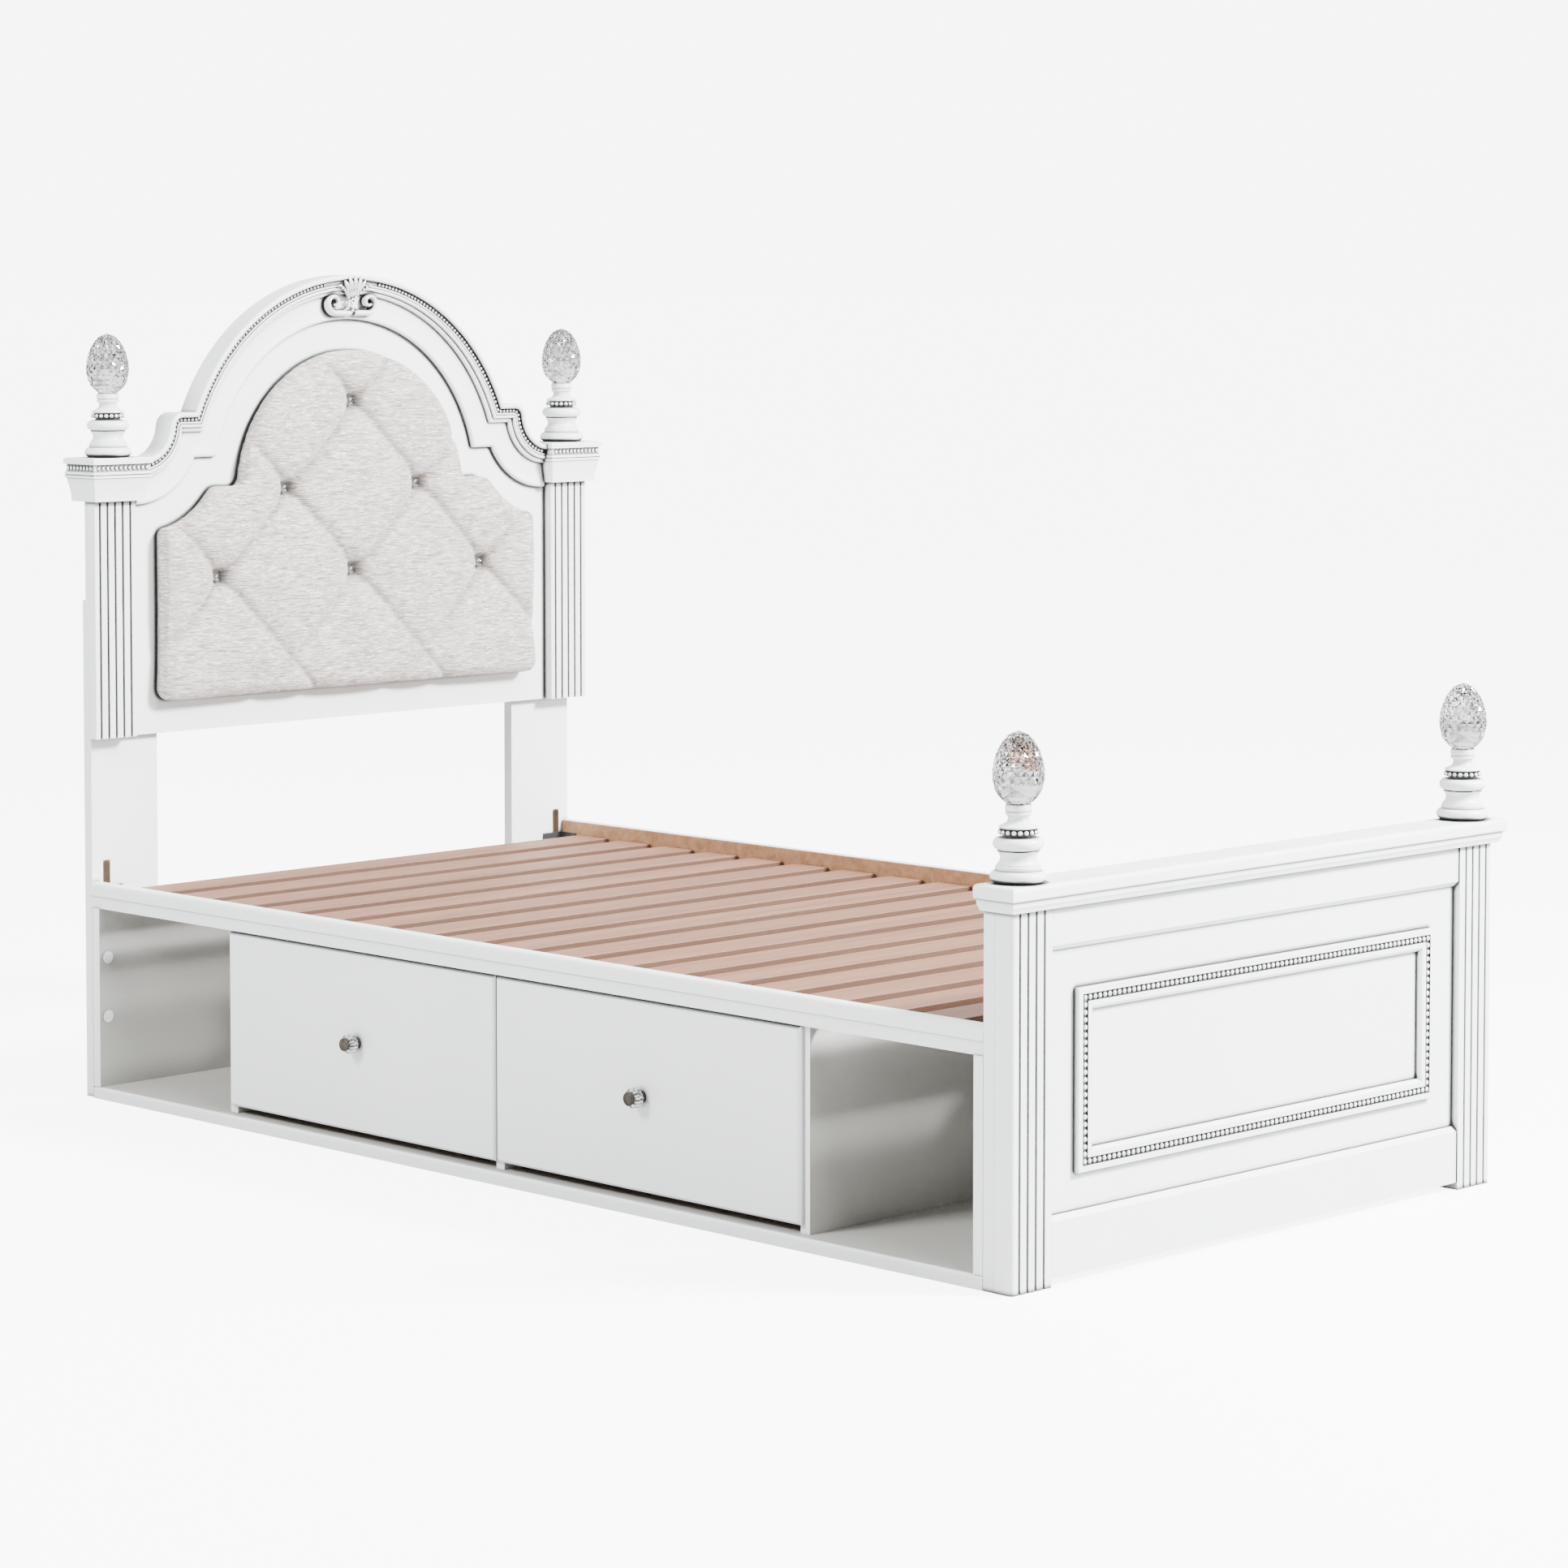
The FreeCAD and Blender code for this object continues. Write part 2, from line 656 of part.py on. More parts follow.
def crystal(x, y, z):
    """The egg-shaped cut crystal on top of one finial."""
    steps = 14
    low = 0.0
    points = []
    for i in range(steps + 1):
        t = i / steps
        h = low + t * crystal_rise
        belly = math.sin(math.pi * t ** 0.86) ** 0.72
        foot = 10.0 * (1 - t) ** 6
        points.append((max(belly * crystal_radius, 0) + foot, h))
    points[-1] = (0, crystal_rise)
    ring = [(0, 0)] + points
    face = polygon_face([V(x + r, y, z + base_rise + h) for r, h in ring])
    return face.revolve(V(x, y, 0), V(0, 0, 1), 360)


def finial_places():
    """(x, y, z, is_headboard) of the four finials."""
    z_head = capital_low + capital_height
    places = []
    for s in (-1, 1):
        places.append((s * finial_x, finial_y, z_head, True))
        places.append((s * footboard_finial_x, footboard_finial_y, cap_top, False))
    return places


def finial_beads():
    """The ring of small beads round each finial foot."""
    beads = []
    for x, y, z, is_head in finial_places():
        for i in range(finial_bead_count):
            a = 2 * math.pi * i / finial_bead_count
            out = V(math.cos(a), math.sin(a), 0)
            reach = finial_band_radius + finial_bead + finial_bead_gap
            centre = V(x + reach * out.x, y + reach * out.y, z + finial_bead_rise)
            beads.append(Part.makeSphere(finial_bead, centre))
    return beads


# ------------------------------------------------------------------ footboard
def footboard_post():
    """Right footboard post: a grooved face board with a rounded outer corner."""
    x0 = half_out - post_width
    body = block(x0, half_out, y_post, y_post + post_front_depth, 0, post_height)
    corner = [e for e in edges_along(body, V(0, 0, 1))
              if e.CenterOfMass.x > half_out - 1 and e.CenterOfMass.y < y_post + 1]
    body = body.makeFillet(6.0, corner)
    return grooved(body, half_out - post_width / 2, post_groove_count, post_groove_pitch,
                   y_post, 0, post_height)


def footboard_stile():
    """Right stile behind the post, where the side rail bolts on."""
    return board(half_out - post_width, half_out, y_post + post_front_depth, y_bay, 0, post_height, 0.8)


rail_front = y_post + rail_setback
rail_back = y_post + post_front_depth
panel_front = y_post + panel_setback


def bevelled_rail(z0, z1, lip_z):
    """A footboard rail with a bevel along the edge that meets the panel."""
    body = block(-inner_half + fit, inner_half - fit, rail_front, rail_back, z0, z1)
    edges = [e for e in edges_along(body, V(1, 0, 0))
             if abs(e.CenterOfMass.z - lip_z) < 1 and e.CenterOfMass.y < rail_front + 1]
    return body.makeChamfer(7.0, edges)


def footboard_top_rail():
    """Rail under the footboard's cap."""
    low = post_height - top_rail_height
    return bevelled_rail(low, post_height, low)


def footboard_bottom_rail():
    """Rail along the footboard's foot."""
    high = bottom_rail_clear + bottom_rail_height
    return bevelled_rail(bottom_rail_clear, high, high)


def footboard_panel():
    """Flat panel between the two rails."""
    low = bottom_rail_clear + bottom_rail_height
    high = post_height - top_rail_height
    back = panel_front + footboard_panel_thick
    return block(-inner_half + fit, inner_half - fit, panel_front, back, low, high)


def mitred_frame(profile, x1, z0, z1, y_seat):
    """Planted frame: a profile of (in from the outer edge, forward) on four sides."""
    width = max(w for w, d in profile)
    bars = []
    sides = [((-x1, z0), (x1, z0)), ((x1, z0), (x1, z1)), ((x1, z1), (-x1, z1)), ((-x1, z1), (-x1, z0))]
    for (ax, az), (bx, bz) in sides:
        length = math.hypot(bx - ax, bz - az)
        ux, uz = (bx - ax) / length, (bz - az) / length
        nx, nz = -uz, ux
        face = polygon_face([V(ax + nx * w, y_seat - d, az + nz * w) for w, d in profile])
        bar = face.extrude(V(bx - ax, 0, bz - az))
        mitre = [(ax, az), (bx, bz), (bx - ux * width + nx * width, bz - uz * width + nz * width)]
        mitre.append((ax + ux * width + nx * width, az + uz * width + nz * width))
        cut = prism([V(x, y_seat - 60, z) for x, z in mitre], V(0, 120, 0))
        bars.append(bar.common(cut))
    return bars[0].multiFuse(bars[1:]).removeSplitter()


frame_bead = 4.3
frame_bead_pitch = 9.8
frame_bead_in = 13.8         # bead row's centre line in from the frame's outer edge
frame_channel = 10.4         # width of the channel the beads lie in
frame_channel_deep = 3.2


def footboard_moulding():
    """The picture-frame moulding planted on the panel, with a channel for the beads."""
    t = frame_thick
    w = frame_band
    a = frame_bead_in - frame_channel / 2
    b = frame_bead_in + frame_channel / 2
    floor_at = t - frame_channel_deep
    outer = [(0, 0), (0, t - 1), (1, t), (a, t), (a, floor_at), (b, floor_at), (b, t)]
    inner = [(w - 5, t), (w - 3.5, t - 0.8), (w - 1.5, t - 3), (w, t - 5), (w, 0)]
    return mitred_frame(outer + inner, frame_half_width, frame_low, frame_high, panel_front)


def footboard_moulding_beads():
    """Round beads along the planted frame."""
    x1 = frame_half_width - frame_bead_in
    z0 = frame_low + frame_bead_in
    z1 = frame_high - frame_bead_in
    y = panel_front - frame_thick + frame_channel_deep
    beads = []
    across = int(round(2 * x1 / frame_bead_pitch))
    for i in range(across + 1):
        x = -x1 + 2 * x1 * i / across
        beads.append(hemisphere(x, y, z0, frame_bead, V(0, -1, 0)))
        beads.append(hemisphere(x, y, z1, frame_bead, V(0, -1, 0)))
    up = int(round((z1 - z0) / frame_bead_pitch))
    for i in range(1, up):
        z = z0 + (z1 - z0) * i / up
        beads.append(hemisphere(-x1, y, z, frame_bead, V(0, -1, 0)))
        beads.append(hemisphere(x1, y, z, frame_bead, V(0, -1, 0)))
    return beads


def footboard_cap_lower():
    """Thin moulding under the footboard's cap."""
    z0 = post_height
    x1 = half_out
    over = cap_lower_over
    steps = [(over - 4, z0), (over - 2, z0 + 5), (over, z0 + 8), (over, z0 + cap_lower_thick)]
    back = [(0.5, z0), (cap_back - 1, z0 + cap_lower_thick)]
    return capping(steps, back, x1)


def footboard_cap_upper():
    """Top board of the footboard, its upper edge rounded."""
    z0 = post_height + cap_lower_thick
    z1 = cap_top
    over = cap_upper_over
    edge = [(over - 2, z0), (over, z0 + 2), (over, z1 - 7)]
    edge += arc_points((over - 7, z1 - 7), 7.0, 15, 90, 5)
    back = [(cap_back, z0), (cap_back, z1 - 2), (cap_back - 2, z1)]
    return capping(edge, back, half_out)


def capping(edge, back, x1):
    """A long board with one profile at front and ends, and another at the back."""
    far = 2000.0
    ends = prism([V(x1 + e, -far, z) for e, z in edge]
                 + [V(-x1 - e, -far, z) for e, z in reversed(edge)], V(0, 2 * far, 0))
    y0 = y_post
    y1 = y_bay
    length = prism([V(-far, y1 + e, z) for e, z in back]
                   + [V(-far, y0 - e, z) for e, z in reversed(edge)], V(2 * far, 0, 0))
    return ends.common(length)


# ------------------------------------------------------------------ side rails and deck
rail_y0 = y_bay
rail_y1 = y_leg
ledge_y0 = y_bay + 15.0
ledge_y1 = y_panel - 30.0


def rail_upper():
    """Upper, proud part of the left rail, its top outer edge rounded."""
    body = block(-half_out, -half_in, rail_y0, rail_y1, near_rail_step, near_rail_top)
    outer = [e for e in edges_along(body, V(0, 1, 0)) if near_xz(e, -half_out, near_rail_top)]
    body = body.makeFillet(9.0, outer)
    lower = [e for e in edges_along(body, V(0, 1, 0)) if near_xz(e, -half_out, near_rail_step)]
    return body.makeChamfer(1.5, lower)


def rail_lower():
    """Lower band of the left rail, set back a little."""
    return block(-half_out + step_depth, -half_in, rail_y0, rail_y1, near_rail_bottom, near_rail_step)


def rail_right():
    """Plain right rail."""
    low = far_rail_top - far_rail_height
    return board(half_in, half_out, rail_y0, rail_y1, low, far_rail_top, 2.0)


def ledge(side):
    """Batten inside a rail that carries the slats."""
    x0 = half_in - ledge_width
    strip = board(x0, half_in, ledge_y0, ledge_y1, near_rail_bottom, deck_low, 1.0)
    if side < 0:
        strip = strip.mirror(V(0, 0, 0), V(1, 0, 0))
    return strip


def bed_slats():
    """The row of deck slats."""
    half = half_in - slat_end_gap
    slats = []
    for k in range(slat_count):
        y1 = y_panel - slat_head_gap - k * slat_pitch
        slats.append(board(-half, half, y1 - slat_width, y1, deck_low, slat_top))
    return slats


bracket_thick = 2.5
bracket_on_leg = 45.0
bracket_on_rail = 38.0
bracket_low = slat_top - bracket_drop
bracket_high = slat_top + bracket_rise
bolt_radius = 4.5
bolt_head = 3.0


def rail_brackets():
    """Angle brackets that join the rails to the headboard legs."""
    pair = []
    for s in (-1, 1):
        on_leg = block(half_in - bracket_on_leg, half_in, y_leg - bracket_thick, y_leg,
                       bracket_low, bracket_high)
        on_rail = block(half_in - bracket_thick, half_in, y_leg - bracket_on_rail, y_leg,
                        bracket_low, bracket_high)
        angle = on_leg.fuse(on_rail).removeSplitter()
        pair.append(angle if s > 0 else angle.mirror(V(0, 0, 0), V(1, 0, 0)))
    return pair


def bracket_bolts():
    """Bolt heads on the angle brackets."""
    z = (bracket_low + bracket_high) / 2
    bolts = []
    for s in (-1, 1):
        for x in (half_in - bracket_on_leg + 12, half_in - 12):
            bolts.append(Part.makeCylinder(bolt_radius, bolt_head, V(s * x, y_leg - bracket_thick, z),
                                           V(0, -1, 0)))
        bolts.append(Part.makeCylinder(bolt_radius, bolt_head,
                                       V(s * (half_in - bracket_thick), y_leg - 27, z), V(-s, 0, 0)))
    return bolts


# ------------------------------------------------------------------ drawer unit
y_end_foot = y_unit_low + end_thick
y_div_foot = y_end_foot + cubby_width
y_bay_foot = y_div_foot + divider_thick
y_div_mid = y_bay_foot + drawer_bay
y_bay_head = y_div_mid + divider_thick
y_div_head = y_bay_head + drawer_bay
unit_top = near_rail_bottom
drawer_low = base_thick + front_gap_bottom
drawer_high = unit_top - front_gap_top
back_inner = storage_back - back_thick


def storage_base():
    """Bottom board of the drawer unit, its front edge rounded."""
    body = block(storage_front, storage_back, y_unit_low, y_unit_high, 0, base_thick)
    nose = [e for e in edges_along(body, V(0, 1, 0)) if near_xz(e, storage_front, base_thick)]
    return body.makeFillet(6.0, nose)


def unit_upright(y0, thick, x0):
    """An end or a divider of the drawer unit."""
    return board(x0, back_inner, y0, y0 + thick, base_thick, unit_top, 0.8)


def storage_back_board():
    """Thin back board of the drawer unit."""
    return block(back_inner, storage_back, y_unit_low, y_unit_high, base_thick, unit_top)


runner_gap = (runner_space - 2 * runner_member) / 2
runner_low = base_thick + runner_raise
runner_x0 = divider_front + 8.0


def cabinet_runners():
    """Fixed runner members on the sides of both drawer openings."""
    members = []
    for y0 in (y_bay_foot, y_bay_head):
        for y in (y0, y0 + drawer_bay - runner_member):
            members.append(block(runner_x0, runner_x0 + runner_length, y, y + runner_member,
                                 runner_low, runner_low + runner_height))
    return members


def drawer_runners(y0):
    """Moving runner members on one drawer's sides."""
    members = []
    near = y0 + runner_space - runner_member
    far = y0 + drawer_bay - runner_space
    for y in (near, far):
        members.append(block(box_x0, box_x0 + runner_length, y, y + runner_member,
                             runner_low + 4, runner_low + runner_height - 4))
    return members


box_x0 = front_face + front_lip + front_rebate
box_low = base_thick + box_raise
box_high = box_low + box_height


def drawer_front(y0):
    """Lipped drawer front: it overlaps the opening and a rebated part enters it."""
    low_y = y0 - front_overlay
    high_y = y0 + drawer_bay + front_overlay
    lip = block(front_face, front_face + front_lip, low_y, high_y, drawer_low, drawer_high)
    rim = [e for e in lip.Edges if abs(e.CenterOfMass.x - front_face) < 0.01]
    lip = lip.makeChamfer(front_bevel, rim)
    inner = block(front_face + front_lip, box_x0, y0 + front_play, y0 + drawer_bay - front_play,
                  drawer_low + front_play, drawer_high - front_play)
    return lip.fuse(inner).removeSplitter()


def drawer_sides(y0):
    """Two sides and the back of one drawer box, joined."""
    a = y0 + runner_space
    b = y0 + drawer_bay - runner_space
    x1 = box_x0 + box_depth
    left = block(box_x0, x1, a, a + box_wall, box_low, box_high)
    right = block(box_x0, x1, b - box_wall, b, box_low, box_high)
    rear = block(x1 - box_wall, x1, a + box_wall, b - box_wall, box_low, box_high)
    return left.fuse(right).fuse(rear).removeSplitter()


def drawer_bottom(y0):
    """Bottom sheet of one drawer, let in between the sides."""
    a = y0 + runner_space + box_wall
    b = y0 + drawer_bay - runner_space - box_wall
    z0 = box_low + 8.0
    return block(box_x0, box_x0 + box_depth - box_wall, a, b, z0, z0 + box_bottom_thick)


knob_z = (drawer_low + drawer_high) / 2
plate_radius = 9.0
plate_thick = 4.0
glass_radius = 15.0
glass_length = 20.0
knob_cap_radius = 10.0
knob_cap_thick = 4.5
spindle_radius = 3.0


def knob_metal(y0):
    """Back plate, spindle and end cap of one knob."""
    y = y0 + drawer_bay / 2
    out = V(-1, 0, 0)
    x = front_face
    plate = Part.makeCylinder(plate_radius, plate_thick, V(x, y, knob_z), out)
    reach = plate_thick + glass_length + 1.0
    spindle = Part.makeCylinder(spindle_radius, reach, V(x, y, knob_z), out)
    tip = Part.makeCylinder(knob_cap_radius, knob_cap_thick, V(x - plate_thick - glass_length, y, knob_z), out)
    rim = [e for e in tip.Edges if e.CenterOfMass.x < x - plate_thick - glass_length - knob_cap_thick + 0.1]
    tip = tip.makeFillet(2.0, [e for e in rim if isinstance(e.Curve, Part.Circle)])
    return plate.fuse(spindle).fuse(tip).removeSplitter()


def knob_glass(y0):
    """Fluted glass body of one knob, bored for the spindle."""
    y = y0 + drawer_bay / 2
    profile = [(0, 8.0), (4, 11.5), (8, glass_radius - 0.6), (12, glass_radius), (16, glass_radius - 1)]
    profile += [(glass_length, glass_radius - 3.5)]
    x = front_face - plate_thick
    bore = spindle_radius + 0.05
    points = [V(x, y + bore, knob_z)] + [V(x - t, y + r, knob_z) for t, r in profile]
    points.append(V(x - glass_length, y + bore, knob_z))
    return polygon_face(points).revolve(V(x, y, knob_z), V(1, 0, 0), 360)


def screw_caps():
    """Round cover caps over the unit's bolts, on the head end's inner face."""
    y = y_unit_high - end_thick
    x = storage_front + 16.0
    return [Part.makeCylinder(10.0, 1.6, V(x, y, z), V(0, -1, 0)) for z in (134.0, 229.8)]


# ------------------------------------------------------------------ build
def both_sides(shape, name):
    """Export a right-hand part and its mirror image."""
    export(shape, name + "_right")
    export(shape.mirror(V(0, 0, 0), V(1, 0, 0)), name + "_left")


def build_headboard():
    both_sides(headboard_leg(), "headboard_leg")
    export(headboard_panel(), "headboard_panel")
    both_sides(pilaster(), "pilaster")
    both_sides(capital(), "capital")
    export(crown_band(), "crown_band")
    export(crown_moulding(), "crown_moulding")
    export(crown_cap(), "crown_cap")
    export(crown_beads(), "crown_beads")
    export(capital_beads(), "capital_beads")
    export(crown_ornament(), "crown_ornament")
    export(headboard_cushion(), "headboard_cushion")
    export(tuft_buttons(), "tuft_buttons")


def build_finials():
    for is_head, name in ((True, "headboard"), (False, "footboard")):
        spots = [p for p in finial_places() if p[3] == is_head]
        export([turned_base(x, y, z) for x, y, z, head in spots], name + "_finial_bases")
        export([crystal(x, y, z) for x, y, z, head in spots], name + "_finial_crystals")
    export(finial_beads(), "finial_beads")


def build_footboard():
    both_sides(footboard_post(), "footboard_post")
    both_sides(footboard_stile(), "footboard_stile")
    export(footboard_top_rail(), "footboard_top_rail")
    export(footboard_bottom_rail(), "footboard_bottom_rail")
    export(footboard_panel(), "footboard_panel")
    export(footboard_moulding(), "footboard_moulding")
    export(footboard_moulding_beads(), "footboard_moulding_beads")
    export(footboard_cap_lower(), "footboard_cap_lower")
    export(footboard_cap_upper(), "footboard_cap_upper")


def build_deck():
    export(rail_upper(), "side_rail_left_upper")
    export(rail_lower(), "side_rail_left_lower")
    export(rail_right(), "side_rail_right")
    export(ledge(-1), "slat_ledge_left")
    export(ledge(1), "slat_ledge_right")
    export(bed_slats(), "bed_slats")
    export(rail_brackets(), "rail_brackets")
    export(bracket_bolts(), "bracket_bolts")


def build_unit():
    export(storage_base(), "storage_base")
    export(unit_upright(y_unit_low, end_thick, storage_front), "storage_end_foot")
    export(unit_upright(y_unit_high - end_thick, end_thick, storage_front), "storage_end_head")
    export(unit_upright(y_div_foot, divider_thick, divider_front), "storage_divider_foot")
    export(unit_upright(y_div_mid, divider_thick, divider_front), "storage_divider_middle")
    export(unit_upright(y_div_head, divider_thick, divider_front), "storage_divider_head")
    export(storage_back_board(), "storage_back")
    export(cabinet_runners(), "cabinet_runners")
    export(screw_caps(), "screw_caps")


def build_drawer(y0, name):
    export(drawer_front(y0), name + "_front")
    export(drawer_sides(y0), name + "_box")
    export(drawer_bottom(y0), name + "_bottom")
    export(drawer_runners(y0), name + "_runners")
    export(knob_metal(y0), name + "_knob_metal")
    export(knob_glass(y0), name + "_knob_glass")


os.makedirs("parts", exist_ok=True)
build_headboard()
build_finials()
build_footboard()
build_deck()
build_unit()
build_drawer(y_bay_foot, "drawer_foot")
build_drawer(y_bay_head, "drawer_head")
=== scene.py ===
# %% [markdown]
# # A painted storage bed, finished in Blender
# The joinery comes ready made: rails, posts, boards, drawers and mouldings are already
# in the frame at their true size. This lesson gives them their finishes and remakes the
# pieces that a joiner doesn't make: the tufted headboard pad, the cut crystals, the
# turned feet under them, the glass knobs and the carved crest.

# %% Load the frame
import json
import math
import bmesh
import bpy
from mathutils import Matrix, Vector


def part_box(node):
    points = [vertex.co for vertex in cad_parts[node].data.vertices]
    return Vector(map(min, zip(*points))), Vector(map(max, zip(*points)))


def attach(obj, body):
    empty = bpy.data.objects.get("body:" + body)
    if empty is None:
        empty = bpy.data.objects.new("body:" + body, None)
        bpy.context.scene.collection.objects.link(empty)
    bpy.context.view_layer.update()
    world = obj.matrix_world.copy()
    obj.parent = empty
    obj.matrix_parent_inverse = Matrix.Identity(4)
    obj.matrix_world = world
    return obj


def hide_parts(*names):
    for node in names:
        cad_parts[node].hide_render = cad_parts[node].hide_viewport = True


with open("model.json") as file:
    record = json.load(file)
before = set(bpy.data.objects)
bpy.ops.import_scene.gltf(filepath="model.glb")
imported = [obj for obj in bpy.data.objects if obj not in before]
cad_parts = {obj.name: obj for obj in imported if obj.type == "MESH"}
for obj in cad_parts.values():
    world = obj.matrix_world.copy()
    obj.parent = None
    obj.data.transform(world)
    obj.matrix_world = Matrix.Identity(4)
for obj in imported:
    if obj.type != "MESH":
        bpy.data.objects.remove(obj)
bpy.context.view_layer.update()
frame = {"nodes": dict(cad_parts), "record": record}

nodes = frame["nodes"]

# %% [markdown]
# The bed is seen from its open corner, from about the height of the headboard's top. A long
# lens keeps the posts nearly upright. Half of the look downwards comes from tipping the
# camera and half from sliding the view on the sensor, as with an architect's lens.

# %% Camera
view_tilt = 3.3
camera_data = bpy.data.cameras.new("view_camera")
camera_data.sensor_width = 36.0
camera_data.lens = 102.25
camera_data.shift_y = -0.159
camera_data.clip_end = 600.0
camera = bpy.data.objects.new("view_camera", camera_data)
bpy.context.scene.collection.objects.link(camera)
camera.location = (-4.7874, -4.8527, 1.326)
camera.rotation_euler = (math.radians(90 - view_tilt), 0, math.radians(-45))
bpy.context.scene.camera = camera
print("camera at", tuple(camera.location))

# %% [markdown]
# The room is a plain pale floor under soft light. A hazy skylight does most of the work,
# one lamp picks out the foot of the bed and another keeps the drawer side readable, so the
# mouldings are drawn by gentle shade rather than hard shadow. The floor and the far wall
# glow for direct sight only, which keeps the backdrop white without filling the shadows,
# and the floor itself is a mid grey so that it throws little light back up.

# %% Floor and light
floor_grey = 0.55
backdrop_glow = 6.5
wall_glow = backdrop_glow + 1.2
bright_side = (0.69, 0.69, 0.22)


def deselect():
    """Leave edit mode and select nothing."""
    if bpy.context.object and bpy.context.object.mode != "OBJECT":
        bpy.ops.object.mode_set(mode="OBJECT")
    bpy.ops.object.select_all(action="DESELECT")


deselect()
bpy.ops.mesh.primitive_plane_add(size=400.0, location=(0, 0, 0))
floor = bpy.context.object
floor.name = "studio_floor"
floor_paint = bpy.data.materials.new("studio_floor_paint")
floor_paint.use_nodes = True
floor_shader = floor_paint.node_tree.nodes["Principled BSDF"]
floor_shader.inputs["Base Color"].default_value = (floor_grey, floor_grey, floor_grey, 1)
floor_shader.inputs["Roughness"].default_value = 0.9
floor_shader.inputs["Emission Color"].default_value = (1.0, 1.0, 1.0, 1)
seen = floor_paint.node_tree.nodes.new("ShaderNodeLightPath")
glow = floor_paint.node_tree.nodes.new("ShaderNodeMath")
glow.operation = "MULTIPLY"
glow.inputs[1].default_value = backdrop_glow
floor_paint.node_tree.links.new(seen.outputs["Is Camera Ray"], glow.inputs[0])
floor_paint.node_tree.links.new(glow.outputs[0], floor_shader.inputs["Emission Strength"])
floor.data.materials.append(floor_paint)

world = bpy.data.worlds.new("studio_air")
world.use_nodes = True
air = world.node_tree
sky = air.nodes["Background"]
sky.inputs[0].default_value = (0.97, 0.985, 1.0, 1)
heading = air.nodes.new("ShaderNodeTexCoord")
facing = air.nodes.new("ShaderNodeVectorMath")
facing.operation = "DOT_PRODUCT"
facing.inputs[1].default_value = bright_side
air.links.new(heading.outputs["Generated"], facing.inputs[0])
fade = air.nodes.new("ShaderNodeMapRange")
for label, value in (("From Min", -0.55), ("From Max", 0.80), ("To Min", 0.12), ("To Max", 2.4)):
    fade.inputs[label].default_value = value
air.links.new(facing.outputs["Value"], fade.inputs[0])
direct = air.nodes.new("ShaderNodeLightPath")
wall = air.nodes.new("ShaderNodeMix")
wall.inputs[3].default_value = wall_glow
air.links.new(direct.outputs["Is Camera Ray"], wall.inputs[0])
air.links.new(fade.outputs[0], wall.inputs[2])
air.links.new(wall.outputs[0], sky.inputs[1])
bpy.context.scene.world = world


def soft_lamp(name, place, aim, size, power):
    """A large soft lamp at one place, turned to face another."""
    lamp = bpy.data.lights.new(name, "AREA")
    lamp.shape = "SQUARE"
    lamp.size = size
    lamp.energy = power
    holder = bpy.data.objects.new(name, lamp)
    bpy.context.scene.collection.objects.link(holder)
    holder.location = place
    turn = Vector(aim) - Vector(place)
    holder.rotation_euler = turn.to_track_quat("-Z", "Y").to_euler()
    return holder


sun = bpy.data.lights.new("skylight", "SUN")
sun.energy = 2.6
sun.angle = math.radians(24)
sun_holder = bpy.data.objects.new("skylight", sun)
bpy.context.scene.collection.objects.link(sun_holder)
sun_holder.rotation_euler = Vector((0.10, 0.80, -1.0)).to_track_quat("-Z", "Y").to_euler()
soft_lamp("foot_side", (2.2, -4.2, 3.8), (0, -0.8, 0.4), 1.2, 2100)
soft_lamp("drawer_side", (-3.9, 0.4, 3.0), (-0.5, 0.0, 0.3), 1.2, 300)
print("lamps placed")

# %% [markdown]
# Every finish here is mixed from a few effects, and each effect is a shader node group
# made once. A small helper lays out nodes by name so that the recipes below stay short.

# %% A recipe book for node groups
def new_group(name, takes, gives):
    """A shader node group with number inputs {name: value} and named outputs."""
    tree = bpy.data.node_groups.new(name, "ShaderNodeTree")
    for label, value in takes.items():
        socket = tree.interface.new_socket(name=label, in_out="INPUT", socket_type="NodeSocketFloat")
        socket.default_value = value
    for label in gives:
        tree.interface.new_socket(name=label, in_out="OUTPUT", socket_type="NodeSocketFloat")
    start = tree.nodes.new("NodeGroupInput")
    end = tree.nodes.new("NodeGroupOutput")
    return tree, start, end


def put(tree, kind, links=None, **settings):
    """Add one node, set its properties, and join or set its inputs."""
    node = tree.nodes.new("ShaderNode" + kind)
    for key, value in settings.items():
        setattr(node, key, value)
    for key, value in (links or {}).items():
        if isinstance(value, bpy.types.NodeSocket):
            tree.links.new(value, node.inputs[key])
        else:
            node.inputs[key].default_value = value
    return node


def stretched_noise(tree, place, scale, detail, roughness):
    """Noise on the piece's own coordinates, stretched by a (x, y, z) scale."""
    mapping = put(tree, "Mapping", {"Vector": place, "Scale": scale})
    return put(tree, "TexNoise", {"Vector": mapping.outputs[0], "Scale": 1.0, "Detail": detail,
                                  "Roughness": roughness})


def remap(tree, value, low, high, to_low, to_high):
    """Stretch a value from one range to another."""
    node = put(tree, "MapRange", {"Value": value, "From Min": low, "From Max": high,
                                  "To Min": to_low, "To Max": to_high})
    return node.outputs[0]


print("helpers ready")

# %% [markdown]
# Sprayed paint is never dead flat. It has a slight cloudiness in colour and gloss, and a
# very fine orange peel. This group puts out those three fields for any painted piece.

